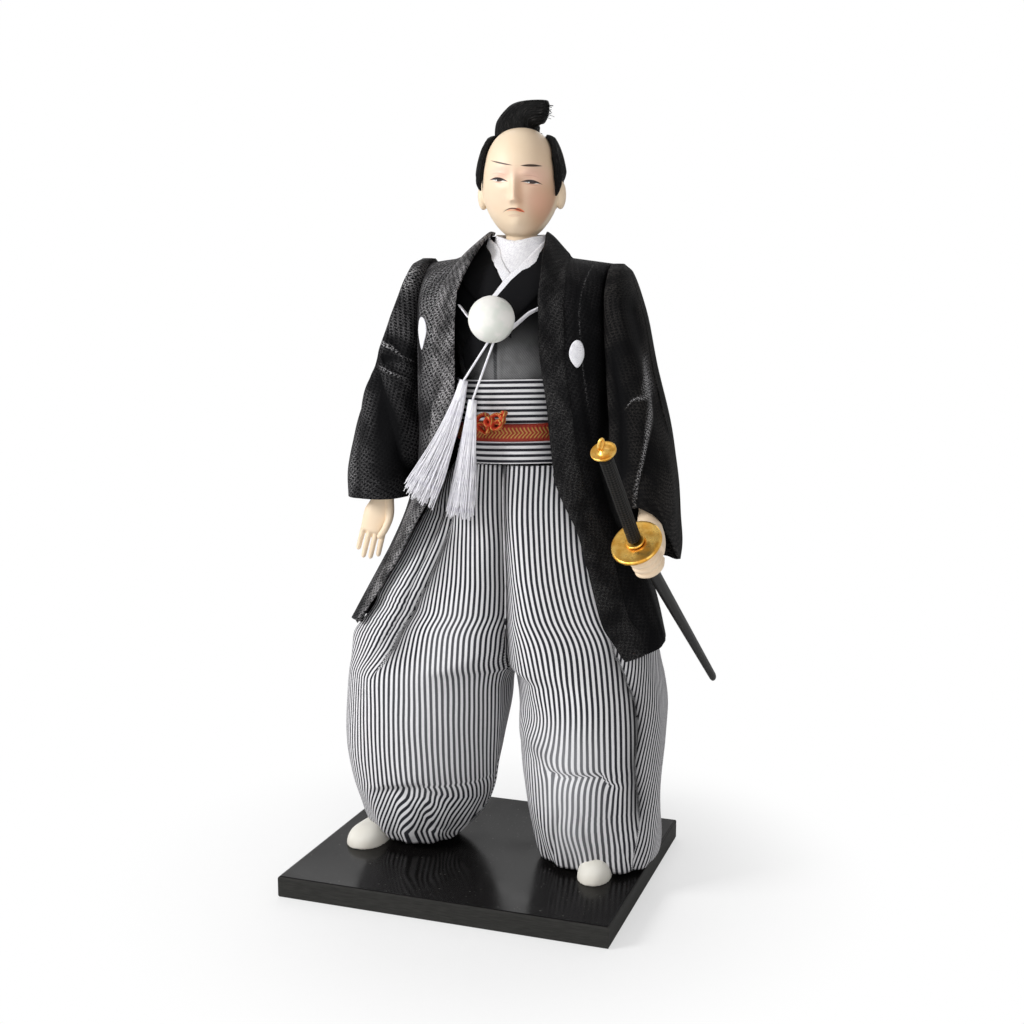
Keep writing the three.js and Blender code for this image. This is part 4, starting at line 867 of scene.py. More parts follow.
for node, finish in (("base_board", black_lacquer()), ("right_leg_wire", WIRE),
                     ("left_leg_wire", WIRE), ("shoulder_wire", WIRE), ("right_arm_wire", WIRE),
                     ("left_arm_wire", WIRE), ("neck_peg", WOOD)):
    for bare in bpy.data.objects[node].material_slots:
        bare.material = finish


# Feet, trousers and what is inside them

# Middle, toe and turn in degrees of each foot, and how wide and high the sock leaves it
FEET = {"right": (-58.5, -22.6, -8.0), "left": (33.5, -25.6, 5.0)}
FOOT_LENGTH, FOOT_WIDTH, FOOT_HEIGHT, ANKLE_SHARE = 31.0, 15.5, 9.5, 0.24
FOOT_PULL = {"right": (1.0, 0.86), "left": (0.84, 0.9)}
# Share of the foot's length from the heel, width and height
FOOT_SECTIONS = [(0.2, 0.8, 0.95), (0.45, 0.82, 1), (0.7, 0.98, 0.9), (0.86, 0.98, 0.78)]
HIP_X, WAIST = 10.5, 157.7
# Height, middle, half width, and depth in front and behind
LEGS = {"right": [
    (157.4, 0, 25.5, 22.5, 21), (141.6, 0, 35.5, 24.5, 25.5), (121.6, 0, 48.6, 27, 29),
    (101.6, -1, 59.4, 29, 32), (88, -14, 55.4, 30, 33.5), (80, -28, 42.6, 30.5, 34),
    (75, -36.4, 34.4, 30.5, 34), (68, -38.8, 33.2, 30.5, 34), (60.6, -39.4, 33.3, 30.5, 34),
    (41.6, -40.9, 32.4, 29, 33), (27.6, -41.2, 30.4, 26.5, 31), (17.6, -41.5, 27.3, 24, 28),
    (8.6, -42.8, 22.6, 20.5, 24), (2.6, -43.4, 16.4, 16.5, 18.5),
], "left": [
    (157.4, 0, 25.5, 22.5, 21), (141.6, 0, 32.5, 24.5, 25.5), (121.6, 0, 42.5, 27, 29),
    (101.6, 2, 48, 29, 32), (88, 11, 43, 30, 33.5), (80, 21, 35, 30.5, 34),
    (75, 28, 29, 30.5, 34), (60.6, 30.1, 28.5, 30.5, 34), (47.6, 29.9, 28.2, 29.5, 33.5),
    (33.6, 30.0, 27, 27.5, 32), (21.6, 30.2, 26.2, 25, 30), (12, 31.2, 25.6, 22, 27.5),
    (5, 31.7, 24.4, 19.5, 24.5), (1.6, 31.6, 22.6, 18, 22),
]}


def ankle_of(side):
    """Where a leg's wire leaves its foot"""
    x, toe, turn = FEET[side]
    back = FOOT_LENGTH * ANKLE_SHARE
    return np.array([x + back * math.sin(math.radians(turn)), toe + FOOT_LENGTH - back, 0.0])


def foot(side):
    """Ovals along the foot, as wide and high as a smooth table says, cut flat at the sole, with
    a round ankle standing in it. The sock pulls each foot a little narrower or lower."""
    x0, toe, turn = FEET[side]
    heel = toe + FOOT_LENGTH
    a, share = grid(61, 70, 0, math.tau)
    share = (1 - np.cos(share * math.pi)) / 2
    close = round_end(1 - share / 0.16) * round_end((share - 0.72) / 0.28)
    wide, high = [mix(rows_at(FOOT_SECTIONS, share, column), 1.0, 0.5) * size * close * pull
                  for column, size, pull in zip((1, 2), (FOOT_WIDTH / 2, FOOT_HEIGHT),
                                                FOOT_PULL[side])]
    across = wide * signed_power(np.cos(a), 0.85)
    along = mix(heel, toe, share)
    z = np.maximum(high * signed_power(np.sin(a), 0.9), 0)
    c, s = math.cos(math.radians(turn)), math.sin(math.radians(turn))
    sole = np.stack((x0 + across * c - (along - heel) * s, heel + across * s + (along - heel) * c,
                     z), -1)
    low = ankle_of(side)
    path = np.linspace(low + [0, 0, 3.8], low + [0, 0, 13], 12)
    r = np.linspace(6.2, 5.6, 12)
    grids = [sole, tube(path, r, r, 32, up=(1, 0, 0))]
    piece = make(f"sock_{side}", grids, f"{side}_foot", SOCK, maps=no_maps(grids))
    fused(piece, 0.4, 3)


# Fold lines on the fronts of the legs: height, then the distance from the middle
SIDE_LINE = {
    "right": [(136.7, -22.7), (124, -27.1), (112.2, -32.2), (102.9, -37.3), (92.1, -43.1),
              (80.6, -47.0), (72, -51.5), (50, -53.5), (2, -54)],
    "left": [(140, 30), (105, 38), (90.3, 43.2), (79.5, 48.3), (69.8, 52.0), (60.3, 53.0),
             (46.1, 51.9), (25.4, 53.0), (2, 50)],
}
OUTER_LINE = [(150, -24.0), (127.3, -31.5), (113.3, -38.5), (101.5, -43.2), (91.5, -48.6),
              (81.6, -54.0), (71.4, -61.0)]
# Creases across the legs: distance from the middle, then the height
KNEE_LINE = {
    "right": [(-66, 24.0), (-56, 26.5), (-46.8, 29.3), (-38.4, 31.2), (-32.3, 32.2),
              (-28.9, 29.8), (-23.3, 26.6), (-16.4, 24.5), (-8, 22.0)],
    "left": [(8, 45.5), (18.7, 43.9), (25.2, 42.9), (33.0, 43.2), (40.1, 43.8), (44, 40.0),
             (55, 37)],
}
# Creases of a leg: their line, how far they stand out, how wide they are on their low and high
# sides, and from where to where they run, fading over the last number
LEG_CREASES = {
    "right": [("side", -3.6, 2.2, 8.0, 80, 138, 9), ("outer", -2.0, 1.6, 3.0, 82, 146, 9),
              ("knee", 1.0, 1.6, 6.0, -56, -26, 6), ("under_knee", -2.0, 5.0, 1.6, -50, -26, 6),
              ("slant", -1.6, 1.2, 4.0, 8, 28, 3)],
    "left": [("side", -1.8, 5.0, 1.6, 20, 92, 8), ("knee", -1.3, 3.5, 1.0, 20, 44, 4),
             ("hem_22", -1.0, 1.4, 3.5, 2, 30, 7), ("hem_34", -1.3, 1.4, 3.5, 2, 30, 7),
             ("hem_45", -1.2, 1.4, 3.5, 2, 30, 7)],
}
# Painted shade in a leg's creases: their line, how much darker, how wide on their low and high sides,
# and from where to where they run, fading over the last number
PAINTED_CREASE_SHADE = {
    "right": [("side", -0.85, 1.2, 5.5, 80, 132, 6), ("outer", -0.6, 1.0, 2.0, 84, 146, 6)],
    "left": [("side", -0.7, 2.5, 0.9, 24, 92, 6)],
}
LEG_SWELLS = {"right": [], "left": [(13, 57, 8, 7, 1.4), (12, 46, 9, 5, -1.5)]}
STRIPE_SWELLS = [(10, 62, 10, 6.5, -3.2), (13, 48, 11, 6, 3.4), (28, 18, 8, 8, 1.4)]
PLEAT_GAIN = {"right": 1.22, "left": 1.12}


def crease_lines(side, x, height):
    """For each named line: how far a point is past it, and its place along it"""
    knee = height - rows_at(KNEE_LINE[side], x, 1)
    lines = {"side": (x - rows_at(SIDE_LINE[side], height, 1), height), "knee": (knee, x)}
    if side == "right":
        lines["outer"] = (x - rows_at(OUTER_LINE, height, 1), height)
        lines["under_knee"] = (knee + 1.2, x)
        lines["slant"] = ((x + 0.7 * height + 21) / 1.2, height)
    else:
        for x0, lean in ((22, 0.25), (34, -0.2), (45, -0.3)):
            lines[f"hem_{x0}"] = (x - x0 - lean * (height - 20), height)
    return lines


def creases(rows, lines):
    """The sum of depth crease(distance past the line) within(place along the line)"""
    return sum(depth * crease(lines[line][0], near, far) * within(lines[line][1], start, end, soft)
               for line, depth, near, far, start, end, soft in rows)


def trousers(side):
    """One leg of striped cloth from the waist to its hem. Each row is an oval, x = middle + half
    width cos(a) and y = front or back depth sin(a), pushed in along the leg's fold lines, by
    pleats at the waist and by gathers above the hem. The cloth's own width runs along each row
    from the front, and jumps where a pleat hides some of it."""
    right, sign = side == "right", SIGN[side]
    table = LEGS[side]
    top, hem = table[0][0], table[-1][0]
    first = 0.0 if right else math.pi
    count = 321
    a, v = grid(count, 132, first, first + math.tau)
    height = top + (hem - top) * v
    row = height[:, :1]
    middle, half, ahead, behind = [rows_at(table, height, column) for column in (1, 2, 3, 4)]
    deep = np.where(np.sin(a) < 0, ahead, behind)
    front = rise(-np.sin(a), 0.0, 0.35)
    flat_x = middle + half * np.cos(a)
    below = (top - height) / (top - hem)
    lines = crease_lines(side, flat_x, height)
    knee = lines["knee"][0]
    pleats = 1.0 * rise(below, 0.9, 0.15) * (0.4 + 0.6 * rise(below, 0, 0.08))
    folded = -pleats * np.abs(np.sin((a + 0.05 * np.sin(height / 23 + 1.3)) * 4.5)) ** 1.6
    folded = folded - 1.3 * rise(below, 0.84, 1.0) * (0.5 + 0.5 * np.cos(a * 11 + 0.6))
    folded = folded + 0.55 * rise(below, 0.1, 0.5) * ripples(a / 2, v * 1.4, 11 + sign, 7)
    back_fold = 1.1 * np.cos(a * 5 + height / 19) * (1 - front) * rise(below, 0.05, 0.4)
    folded = folded + back_fold * within(height, 20, 150, 15)
    folded = folded + front * (creases(LEG_CREASES[side], lines)
                               + swells(LEG_SWELLS[side], flat_x, height))
    crotch = mix(11.0, 2.6, rise(height, 100, 156)) * rise(height, 60, 84)
    dip = crotch * np.exp(-(np.abs(flat_x) / mix(6.0, 2.5, rise(height, 100, 156))) ** 1.3)
    dip = np.where(sign * flat_x < 0, crotch, dip)
    x = middle + (half + folded) * np.cos(a)
    y = (deep + folded - dip * np.where(np.sin(a) < 0, 1.0, 0.5)) * np.sin(a)
    x = sign * np.maximum(sign * x, 0.25)
    points = np.stack((x, y, height + 0 * x), -1)

    wrapped = cloth_map(points)
    column = (np.arccos(0.0) * 3 - first) / (math.tau) * (count - 1)
    u = wrapped[..., 0] - at_column(wrapped[..., 0], column + 0 * row) + rows_at(table, row, 1)
    u = u * mix(1.0, PLEAT_GAIN[side], rise(height, 80, 157))
    if not right:
        u = u - mix(13.0, 0.0, rise(height, 62, 152)) + 13.0
    line = rows_at(SIDE_LINE[side], row, 1)
    turn = math.tau - np.arccos(np.clip((line - middle[:, :1]) / half[:, :1], -1, 1))
    place = (turn - first) / (math.tau) * (count - 1)
    number = np.arange(count)[None, :]
    u_line = at_column(u, place)
    if right:
        still = u_line[np.argmin(np.abs(row[:, 0] - 72))]
        u = u + np.where(number < place, np.where(row > 72, still - u_line, 0), 0)
        u = u + 0.62 * np.clip(-knee, 0, 22) * within(flat_x, -60, -10, 6) * front
        u = u - 0.5 * np.clip(-knee, 0, 6) * within(flat_x, -40, -26, 4) * front
    else:
        u = np.where(number > place, u_line + (u - u_line) * 1.35 - 0.42 * (height - 60), u)
        u = u + swells(STRIPE_SWELLS, flat_x, height) * front
        u = u - 2.4 * crease(knee, 5.0, 0.8) * within(flat_x, 20, 46, 4) * front
    wrapped[..., 0] = u + 0.22 * ripples(a, height / 40, 15 + sign, 8, 0.6, 2.4)

    # Painted shade down the middle between the legs, low near the middle by the hems and in the
    # creases; painted light on the front of each leg, and painted shade on the left leg's outer side
    tone = -0.85 * np.exp(-np.abs(flat_x) / 1.7) * rise(height, 62, 74)
    tone = tone - 0.225 * within(height, 0, 26, 4) * swell(flat_x, sign * 2, 16)
    tone = tone + creases(PAINTED_CREASE_SHADE[side], lines) * front
    if right:
        tone = tone + 0.10 * swell(flat_x, -26, 16) * within(height, 30, 110, 12) * front
    else:
        tone = tone + 0.22 * swell(flat_x, 27, 14) * within(height, 6, 60, 10) * front
        tone = tone - 0.22 * rise(flat_x, 46, 54) * front

    ring, edge = points[-1:], middle_of(points[-1:])
    turned_in = [edge + (ring - edge) * k + [0, 0, lift]
                 for k, lift in ((0.95, 0.6), (0.86, 2.4), (0.7, 5.0))]
    lower = [wrapped[-1:] + [0, 2.0 * (k + 1)] for k in range(3)]
    # The turned-in hem is painted darker row by row, as shade
    shades = [tone[-1:] - dark for dark in (0.3, 0.5, 0.7)]
    make(f"trousers_{side}", [np.concatenate([points] + turned_in)], f"{side}_trouser_leg",
         STRIPES, maps=[np.concatenate([wrapped] + lower)],
         inside=(sign * 28, 0, 80), wall=0.45, tones=[np.concatenate([tone] + shades)],
         cut=("gathered", f"{side}_leg_padding", 1.15))


for side in SIGN:
    foot(side)
    trousers(side)


# Trunk: kimono, collars, sash and braid

# Height, half width, and depth in front and behind
TRUNK = [
    (157.7, 22.5, 21, 20), (173, 21.5, 20.5, 19), (189, 23, 21, 19.5), (205, 26.5, 21.5, 20),
    (218, 28.5, 20.5, 19), (228, 24, 15.5, 15.5), (230.4, 19, 13.4, 13.4),
    (232.4, 14, 11.4, 11.4), (234.6, 10.4, 9.4, 9.4), (237, 8.3, 8, 8), (240, 7.2, 7.2, 7.2),
    (244, 6.9, 6.9, 6.9),
]
TRUNK_LOW, SASH_TOP = 157.9, 188.8
# Collars: angle from the front, then the height of the upper and of the lower edge
UNDER_COLLAR = [
    (-179.4, 242, 234), (-120, 242.4, 234), (-90, 242.2, 233.5), (-50, 241, 232.5),
    (-22, 240, 229), (0, 239.6, 224), (22, 240, 229), (50, 241, 232.5), (90, 242, 233.5),
    (120, 242, 234), (179.4, 242, 234),
]
COLLARS = {"right": [
    (-179, 241, 234), (-120, 242, 233.5), (-90, 241.6, 230.5), (-66, 237.4, 228),
    (-40, 233.6, 224.5), (-20, 231.4, 218), (-9, 228.9, 211), (0, 223.8, 207), (8, 219, 204),
], "left": [
    (179, 241, 234), (120, 241, 234), (90, 240.2, 235), (62, 237.2, 232), (46, 235.0, 228),
    (30, 232.6, 222), (14, 229.3, 213), (6, 225.6, 209), (-3, 219.0, 204), (-18, 209.6, 197),
    (-34, 200, 192),
]}
AXIS = (0, 0, 200)


def trunk_point(angle, height, lift):
    """x = (half width + lift) sin(angle), y = -(front or back depth + lift) cos(angle)"""
    turn = np.radians(angle)
    wide = rows_at(TRUNK, height, 1) + lift
    deep = np.where(np.cos(turn) > 0, rows_at(TRUNK, height, 2), rows_at(TRUNK, height, 3)) + lift
    return np.stack((wide * np.sin(turn), -deep * np.cos(turn), height + 0 * turn), -1)


def kimono():
    """The robe round the trunk: trunk points lifted by slack folds and a raised front seam"""
    angle, height = grid(241, 110, -180, 180, 235.5, TRUNK_LOW)
    slack = 0.35 * ripples(angle / 90, height / 60, 5, 8) * rise(height, 233, 222)
    lean = (height - 190) * 0.05
    seam = 0.5 * swell(angle, lean - 3, 2.2) * rise(height, 222, 214)
    points = trunk_point(angle, height, slack + seam - 0.2)
    # Painted sheen: the robe is painted paler below 214 mm, fully below 192 mm, except on its right
    # side. A dark line runs just beside the raised seam.
    wear_and_sheen = 0.19 * rise(height, 214, 192) * rise(angle, -40, -10)
    make("robe", [points], "kimono_body", KIMONO, inside=AXIS, wall=0.6,
         tones=[wear_and_sheen - 0.5 * swell(angle, lean - 7, 1.2)], cut=("draped", "torso_core"))


def rolled(v):
    """1 along the middle of a band, falling to 0 at both edges by the fourth power"""
    return 1 - (2 * v - 1) ** 4


def band(table, rows, roll, lift, stand):
    """A band laid on the trunk between a table's upper and lower edge, rolled at its edges. It
    stands off the neck further at its sides than in front."""
    place, v = grid(161, rows)
    row = np.arange(len(table)) / (len(table) - 1)
    angle, top, low = [np.interp(place, row, column) for column in zip(*table)]
    lift = lift + roll * rolled(v) + stand * rise(np.abs(angle), 35, 90)
    return trunk_point(angle, mix(top, low, v), lift)


def collar(side, lift, stand):
    """One of the robe's collars"""
    make(f"robe_collar_{side}", [band(COLLARS[side], 17, 0.5, lift, stand)],
         f"kimono_{side}_collar", KIMONO, inside=AXIS, wall=0.45,
         cut=("folded", "kimono_body", 1.0, 1.3))


# The white collar's bands: their table, lift, and how far they stand off at the sides
NECK_BANDS = {
    "right": ([(-92, 241.2, 237), (-69, 240.2, 235.5), (-50, 238.2, 233),
               (-29.5, 235.4, 230.5), (-16, 233.2, 228.5), (-6, 231.2, 226), (1, 228.8, 221.5),
               (4, 227.4, 219), (8, 225.6, 216)], 1.1, 4.6),
    "left": ([(88, 240.8, 235), (76, 239.8, 233), (57, 237.6, 231.5), (35, 234.6, 228.5),
              (15.5, 231.0, 225), (6.5, 228.0, 222.5), (1.5, 225.3, 219.5), (-1.5, 222.8, 217),
              (-4.5, 220.3, 214.5), (-9, 217.2, 212)], 2.3, 1.0),
}


def inner_collar():
    """The white collar round the neck and its two bands, which cross in front"""
    grids = [band(table, 13, 0.35, lift, stand)
             for table, lift, stand in [(UNDER_COLLAR, 0.55, 2.2)] + list(NECK_BANDS.values())]
    make("inner_collar", grids, "under_collar", WHITE, inside=AXIS, wall=0.4,
         cut=("folded", "kimono_body", 1.0, 1.3))


def sash():
    """Five folds of striped cloth round the waist, each a shallow step over the one below"""
    angle, height = grid(301, 120, -180, 180, SASH_TOP, TRUNK_LOW)
    fold = (height - TRUNK_LOW) / 5.9
    step = 0.35 * (fold - np.floor(fold))
    sag = 0.25 * ripples(angle / 120, height / 40, 9, 6)
    points = trunk_point(angle, height, 1.9 + step + sag)
    points[..., 2] += 0.4 * np.sin(np.radians(angle) * 2 + 0.4)
    flat = cloth_map(points)
    flat[..., 1] = SASH_TOP - height + 0.28 * SASH_STRIPE
    lip_top = trunk_point(angle[:1], SASH_TOP - 0.2 + 0 * angle[:1], 0.6)
    lip_top[..., 2] = points[:1, :, 2]
    make("sash", [np.concatenate((lip_top, points))], "waist_sash",
         SASH_STRIPES, maps=[np.concatenate((flat[:1] - [0, 1.2], flat))], inside=AXIS, wall=0.5,
         cut=("stretched", "kimono_body"))


BRAID_HEIGHT, BRAID_HALF = 169.7, 3.3


def braid():
    """A flat braid round the sash, thicker in its middle, that dips a little to one side"""
    angle, v = grid(301, 15, -180, 180, -1, 1)
    dip = 0.5 * np.sin(np.radians(angle) - 0.3)
    points = trunk_point(angle, BRAID_HEIGHT + dip - v * BRAID_HALF, 2.9 + 0.9 * (1 - v**4))
    flat = cloth_map(points)
    flat[..., 1] = v * BRAID_HALF
    make("braid", [points], "waist_cord", BRAID, maps=[flat], inside=AXIS,
         wall=0.5)


# Loops of the knot: place, turn, width, height, lift and thickness
KNOT_LOOPS = [
    (-3.4, 1.2, 0.5, 4.4, 3.4, 0.2, 1.5), (2.6, 1.5, -0.3, 4.6, 3.0, 0.5, 1.5),
    (-3.0, -1.9, -0.6, 4.4, 2.8, 0.9, 1.4), (2.4, -0.6, 0.5, 4.0, 2.6, 1.1, 1.4),
    (-0.5, 0.6, 1.3, 2.6, 2.2, 1.9, 1.5), (4.4, 3.0, 0.9, 2.2, 1.2, 0.4, 1.2),
]


def knot():
    """Flat loops of the braid, crossed over each other in front, and two short ends: each loop is
    an oval about its own middle, turned in the knot's plane"""
    centre = trunk_point(np.array(-5.0), np.array(173.4), 5.6)
    loops, flats = [], []
    for x0, z0, turn, wide, high, lift, size in KNOT_LOOPS:
        a = np.linspace(0, math.tau, 61)
        x, z = wide * np.cos(a) * 0.5, high * np.sin(a) * 0.5
        path = np.stack((x0 + x * math.cos(turn) - z * math.sin(turn),
                         -lift - 0.5 * np.cos(a * 2 + turn),
                         z0 + x * math.sin(turn) + z * math.cos(turn)), -1)
        ring = tube(path + centre, size * 0.50, size * 1.15, 18, up=(0, 1, 0), ends=False)
        loops.append(ring)
        flat = cloth_map(ring)[..., ::-1]
        flat[..., 1] -= flat[..., 1].max() / 2
        flats.append(flat)
    make("braid_knot", loops, "waist_cord_knot", KNOT_PAINTED_LIT, maps=flats)


kimono()
inner_collar()
collar("right", 1.5, 6.0)
collar("left", 3.0, 1.0)
sash()
braid()
knot()


# Coat

COAT_HALF, FOLDS_FROM, COAT_HEM = 34.8, 165, 87.6
# Height, half width on the right and on the left, and depth in front and behind
COAT_ROWS = [
    (222, 34.8, 34.8, 26.5, 24), (190, 34.8, 34.8, 27, 25.2), (157, 34.8, 34.8, 27.5, 25.6),
    (141.6, 41, 37, 28, 28.5), (121.6, 51.6, 46.5, 30, 32), (101.6, 62.4, 53, 32, 34.6),
    (87.6, 69.8, 57, 33, 36),
]
COAT_CLOTH = 1.1
SHOULDER_SQUARE, HEM_SQUARE, SQUARE_FROM, SQUARE_TO = 0.45, 0.96, 157, 121.6
SHOULDER_DROP, SHOULDER_SHARE = 18.0, 0.16
ROW_CROWD, BEND_NECK, BEND_SLEEVE, NECK_HALF, NAPE_TURN = 1.5, 1.4, 1.1, 13.5, 58
# The shoulder line: distance from the middle and height
SHOULDERS = {
    "right": ((0, 242), (11.5, 242), (17.4, 236.9), (20.7, 234), (24.8, 232.5), (36, 231)),
    "left": ((0, 243), (9.5, 242.8), (13.6, 238.4), (17.2, 234.3), (19.5, 232.2), (36, 229.8)),
}
# The coat's front edges: height and distance from the middle
OPENINGS = {
    "right": [(240, 9.9), (232, 11.8), (222, 14.0), (207, 15.5), (189, 15.6), (173.5, 16.9),
              (160.5, 19.5), (150.5, 22.5), (141.5, 28.5), (119.5, 43), (98.6, 57), (92, 62.5)],
    "left": [(240, 10.2), (232, 12.6), (222, 15), (201.5, 15.6), (182, 18.5), (157, 21.5),
             (135, 28.5), (113, 34.5), (100, 38.5), (92, 43), (84, 47)],
}
# The hem's height at the front edge and at the side
HEMS, BACK_HEM = {"right": (93, 91), "left": (85, 92)}, 90
LAPEL, SEAM_SHARE, SEAM_ANGLE = 9.0, 0.92, 89.8


def squareness(height):
    """From a squarer section at the shoulders to a rounder one at the hem"""
    down = np.clip((SQUARE_FROM - height) / (SQUARE_FROM - SQUARE_TO), 0, 1)
    return mix(SHOULDER_SQUARE, HEM_SQUARE, down)


def coat_angle(across, height, column):
    """The angle from the front at which the coat is that far from the middle"""
    share = np.clip(across / rows_at(COAT_ROWS, height, column), 0, 1)
    return np.degrees(np.arcsin(share ** (1 / squareness(height))))


def coat_at(angle, height, lift, depth=1.0):
    """x = wide sin(angle)^q, y = -deep cos(angle)^q, with folds that grow towards the hem"""
    turn = np.radians(angle)
    s, c = [signed_power(part, squareness(height)) for part in (np.sin(turn), np.cos(turn))]
    folded = np.clip((FOLDS_FROM - height) / (FOLDS_FROM - COAT_HEM), 0, None)
    fold = 2 * folded * (0.5 + 0.5 * np.cos(turn * 9))
    wide = np.where(s < 0, rows_at(COAT_ROWS, height, 1), rows_at(COAT_ROWS, height, 2))
    deep = np.where(c > 0, rows_at(COAT_ROWS, height, 3), rows_at(COAT_ROWS, height, 4))
    wide, deep = wide + lift + fold, deep + lift + fold
    return np.stack((wide * s, -deep * c * depth - np.sign(c) * 0.15, height + 0 * s), -1)


def coat_point(angle, down, hem, lift):
    """A bent slope from the shoulder line, height sin^q and depth cos^q of one turn, and then
    straight down to the hem"""
    turn = np.radians(angle)
    s, c = [signed_power(part, SHOULDER_SQUARE) for part in (np.sin(turn), np.cos(turn))]
    across = np.abs(s) * COAT_HALF
    line = np.where(s < 0, np.interp(across, *zip(*SHOULDERS["right"])),
                    np.interp(across, *zip(*SHOULDERS["left"])))
    centre = line - SHOULDER_DROP
    past_neck = np.clip(across - NECK_HALF, 0, None)
    nape = np.where(c < 0, np.clip(1 - past_neck / 6, 0, 1), 0)
    curl = np.radians(mix(NAPE_TURN * nape**2, 90, np.clip(down / SHOULDER_SHARE, 0, 1)))
    bend = mix(BEND_NECK, BEND_SLEEVE, np.clip(past_neck / (COAT_HALF - NECK_HALF), 0, 1))
    over = down < SHOULDER_SHARE
    straight = mix(centre, hem, (down - SHOULDER_SHARE) / (1 - SHOULDER_SHARE))
    slope = centre + (SHOULDER_DROP + lift) * np.clip(np.cos(curl), 0, 1) ** bend
    height = np.where(over, slope, straight)
    return coat_at(angle, height, lift, np.where(over, np.clip(np.sin(curl), 0, 1) ** bend, 1.0))


def coat_front(side, lapel, raise_by):
    """A front from the side seam to the lapel's seam, or the lapel from there to its edge"""
    sign = SIGN[side]
    column = 1 if side == "right" else 2
    u, v = grid(31 if lapel else 101, 200)
    v = v**ROW_CROWD
    edge_hem, side_hem = HEMS[side]
    rough = mix(SHOULDERS["right"][1][1], edge_hem, v)
    edge = rows_at(OPENINGS[side], rough, 1)
    seam = np.minimum(edge + LAPEL, rows_at(COAT_ROWS, rough, column) * SEAM_SHARE)
    near = coat_angle(seam, rough, column) if lapel else 90.6 + 0 * v
    far = coat_angle(edge if lapel else seam - 1.5, rough, column)
    angle = mix(near, far, u)
    hem = mix(edge_hem, side_hem, np.clip((angle / 90 - 0.5) * 2, 0, None))
    if lapel:
        raise_by = raise_by - 0.7 * np.abs(2 * u - 1) ** 5
    wrinkle = 0.35 * ripples(u * (0.5 if lapel else 1.5), v * 2.5, 21 + sign, 8)
    wrinkle = wrinkle * rise(90 - angle, 0, 12)
    return coat_point(sign * angle, v, hem, raise_by + wrinkle * rise(v, 0.02, 0.15))


# Where each front's long fold is painted as shade, without being shaped: height and distance from
# the middle
FRONT_FOLD = {
    "right": [(231, -35.5), (229.5, -34.4), (206.8, -33.0), (192, -32.0), (170, -33)],
    "left": [(231, 28.9), (214, 28.6), (198, 29.5), (176, 32), (157, 35), (140, 39),
             (110.9, 48.5), (96.7, 54.7)],
}


def front_painted_shading(side, points):
    """Painted shade along the fold line of a front, with a line of painted glints beside it on the
    left and painted light on the chest on the right"""
    x, height = points[..., 0], points[..., 2]
    off = x - rows_at(FRONT_FOLD[side], height, 1)
    if side == "left":
        pale = 0.5 * swell(off, 1.4, 0.5) * rise(height, 150, 190)
    else:
        pale = 0.45 * swell(height, 212, 26)
    return pale - 0.8 * crease(off, 0.8, 1.6)


def hung(name, points, node, cloth, wall=0.7, tones=None, wider=1.0):
    """A piece of the coat that hangs from the shoulders"""
    make(name, [points], node, cloth, inside=(0, 0, 160), wall=wall, tones=tones,
         cut=("hung", "shoulder_wire", wider))


def coat():
    """Back, fronts, lapels and neck band of the coat"""
    u, v = grid(201, 150)
    v = v**ROW_CROWD
    angle = mix(SEAM_ANGLE - 180, -180 - SEAM_ANGLE, u)
    middle = 1 - np.abs(2 * u - 1)
    hem = mix(np.where(u < 0.5, HEMS["right"][1], HEMS["left"][1]), BACK_HEM, middle)
    wrinkle = 0.5 * ripples(u * 2, v * 2, 31, 8) * rise(v, 0.1, 0.3) * rise(middle, 0.0, 0.12)
    points = coat_point(angle, v, hem, COAT_CLOTH + wrinkle)
    hung("coat_back_cloth", points, "coat_back", COAT["left"])
    for side in SIGN:
        front = coat_front(side, False, COAT_CLOTH)
        hung(f"coat_front_{side}", front, f"coat_{side}_front", COAT[side],
             tones=[front_painted_shading(side, front)])
        hung(f"lapel_{side}", coat_front(side, True, 1.7), f"coat_{side}_lapel",
             LAPEL_CLOTH[side], wall=1.2, wider=1.3)
    angle, v = grid(121, 17, 92, 268)
    top = 242.5 - 3.2 * rise(np.abs(angle - 180), 52, 86)
    make("neck_band", [trunk_point(angle, mix(top, 232.8, v), 4.6 + rolled(v))],
         "coat_neck_band", COAT["left"], inside=AXIS, wall=0.9,
         cut=("folded", "kimono_body", 1.0, 1.3))


# Half a crest: degrees round the coat and millimetres up
CREST_ROUND, CREST_UP = 8.6, 4.9


def crest(side, angle, height):
    """A plain oval patch on the coat: rings of coat points round its middle, domed a little"""
    a, r = grid(49, 9, 0, math.tau, 0, 1)
    low = np.clip(-np.sin(a), 0, 1) ** 2
    up = CREST_UP * (1 + 0.45 * low * (side == "right")) * r
    wide = CREST_ROUND * (1 - 0.4 * low) * r
    points = coat_at(angle + wide * np.cos(a), height + up * np.sin(a),
                     COAT_CLOTH + 0.45 + 0.25 * (1 - r**4))
    make(f"crest_{side}", [points], f"{side}_crest", WHITE,
         inside=(0, 0, height), wall=0.3)


coat()
crest("right", -42.5, 206.8)
crest("left", 40, 198.8)


# Ball, cords and tassels

BALL_AT, BALL_RADIUS = np.array([0.5, -34.0, 211.0]), 8.3
CORD_THICK, THREAD, TASSEL_HEAD, TASSEL_CORD = 0.4, 0.17, 1.35, 0.42


def ball():
    """A ball drawn tight: radius grows by small pulls towards the sewn ruffle below"""
    a, b = grid(97, 65, 0, math.tau, 0, math.pi)
    low = rise(b, 2.3, 2.9)
    r = BALL_RADIUS * (1 + 0.012 * low * np.cos(a * 22)) + 0.06 * ripples(a / 2, b, 41, 6)
    r = np.where((b == 0) | (b >= math.pi - 1e-9), BALL_RADIUS, r)
    piece = make("ball", [BALL_AT + globe(a, b, r, r, r)], "coat_ball", BALL)


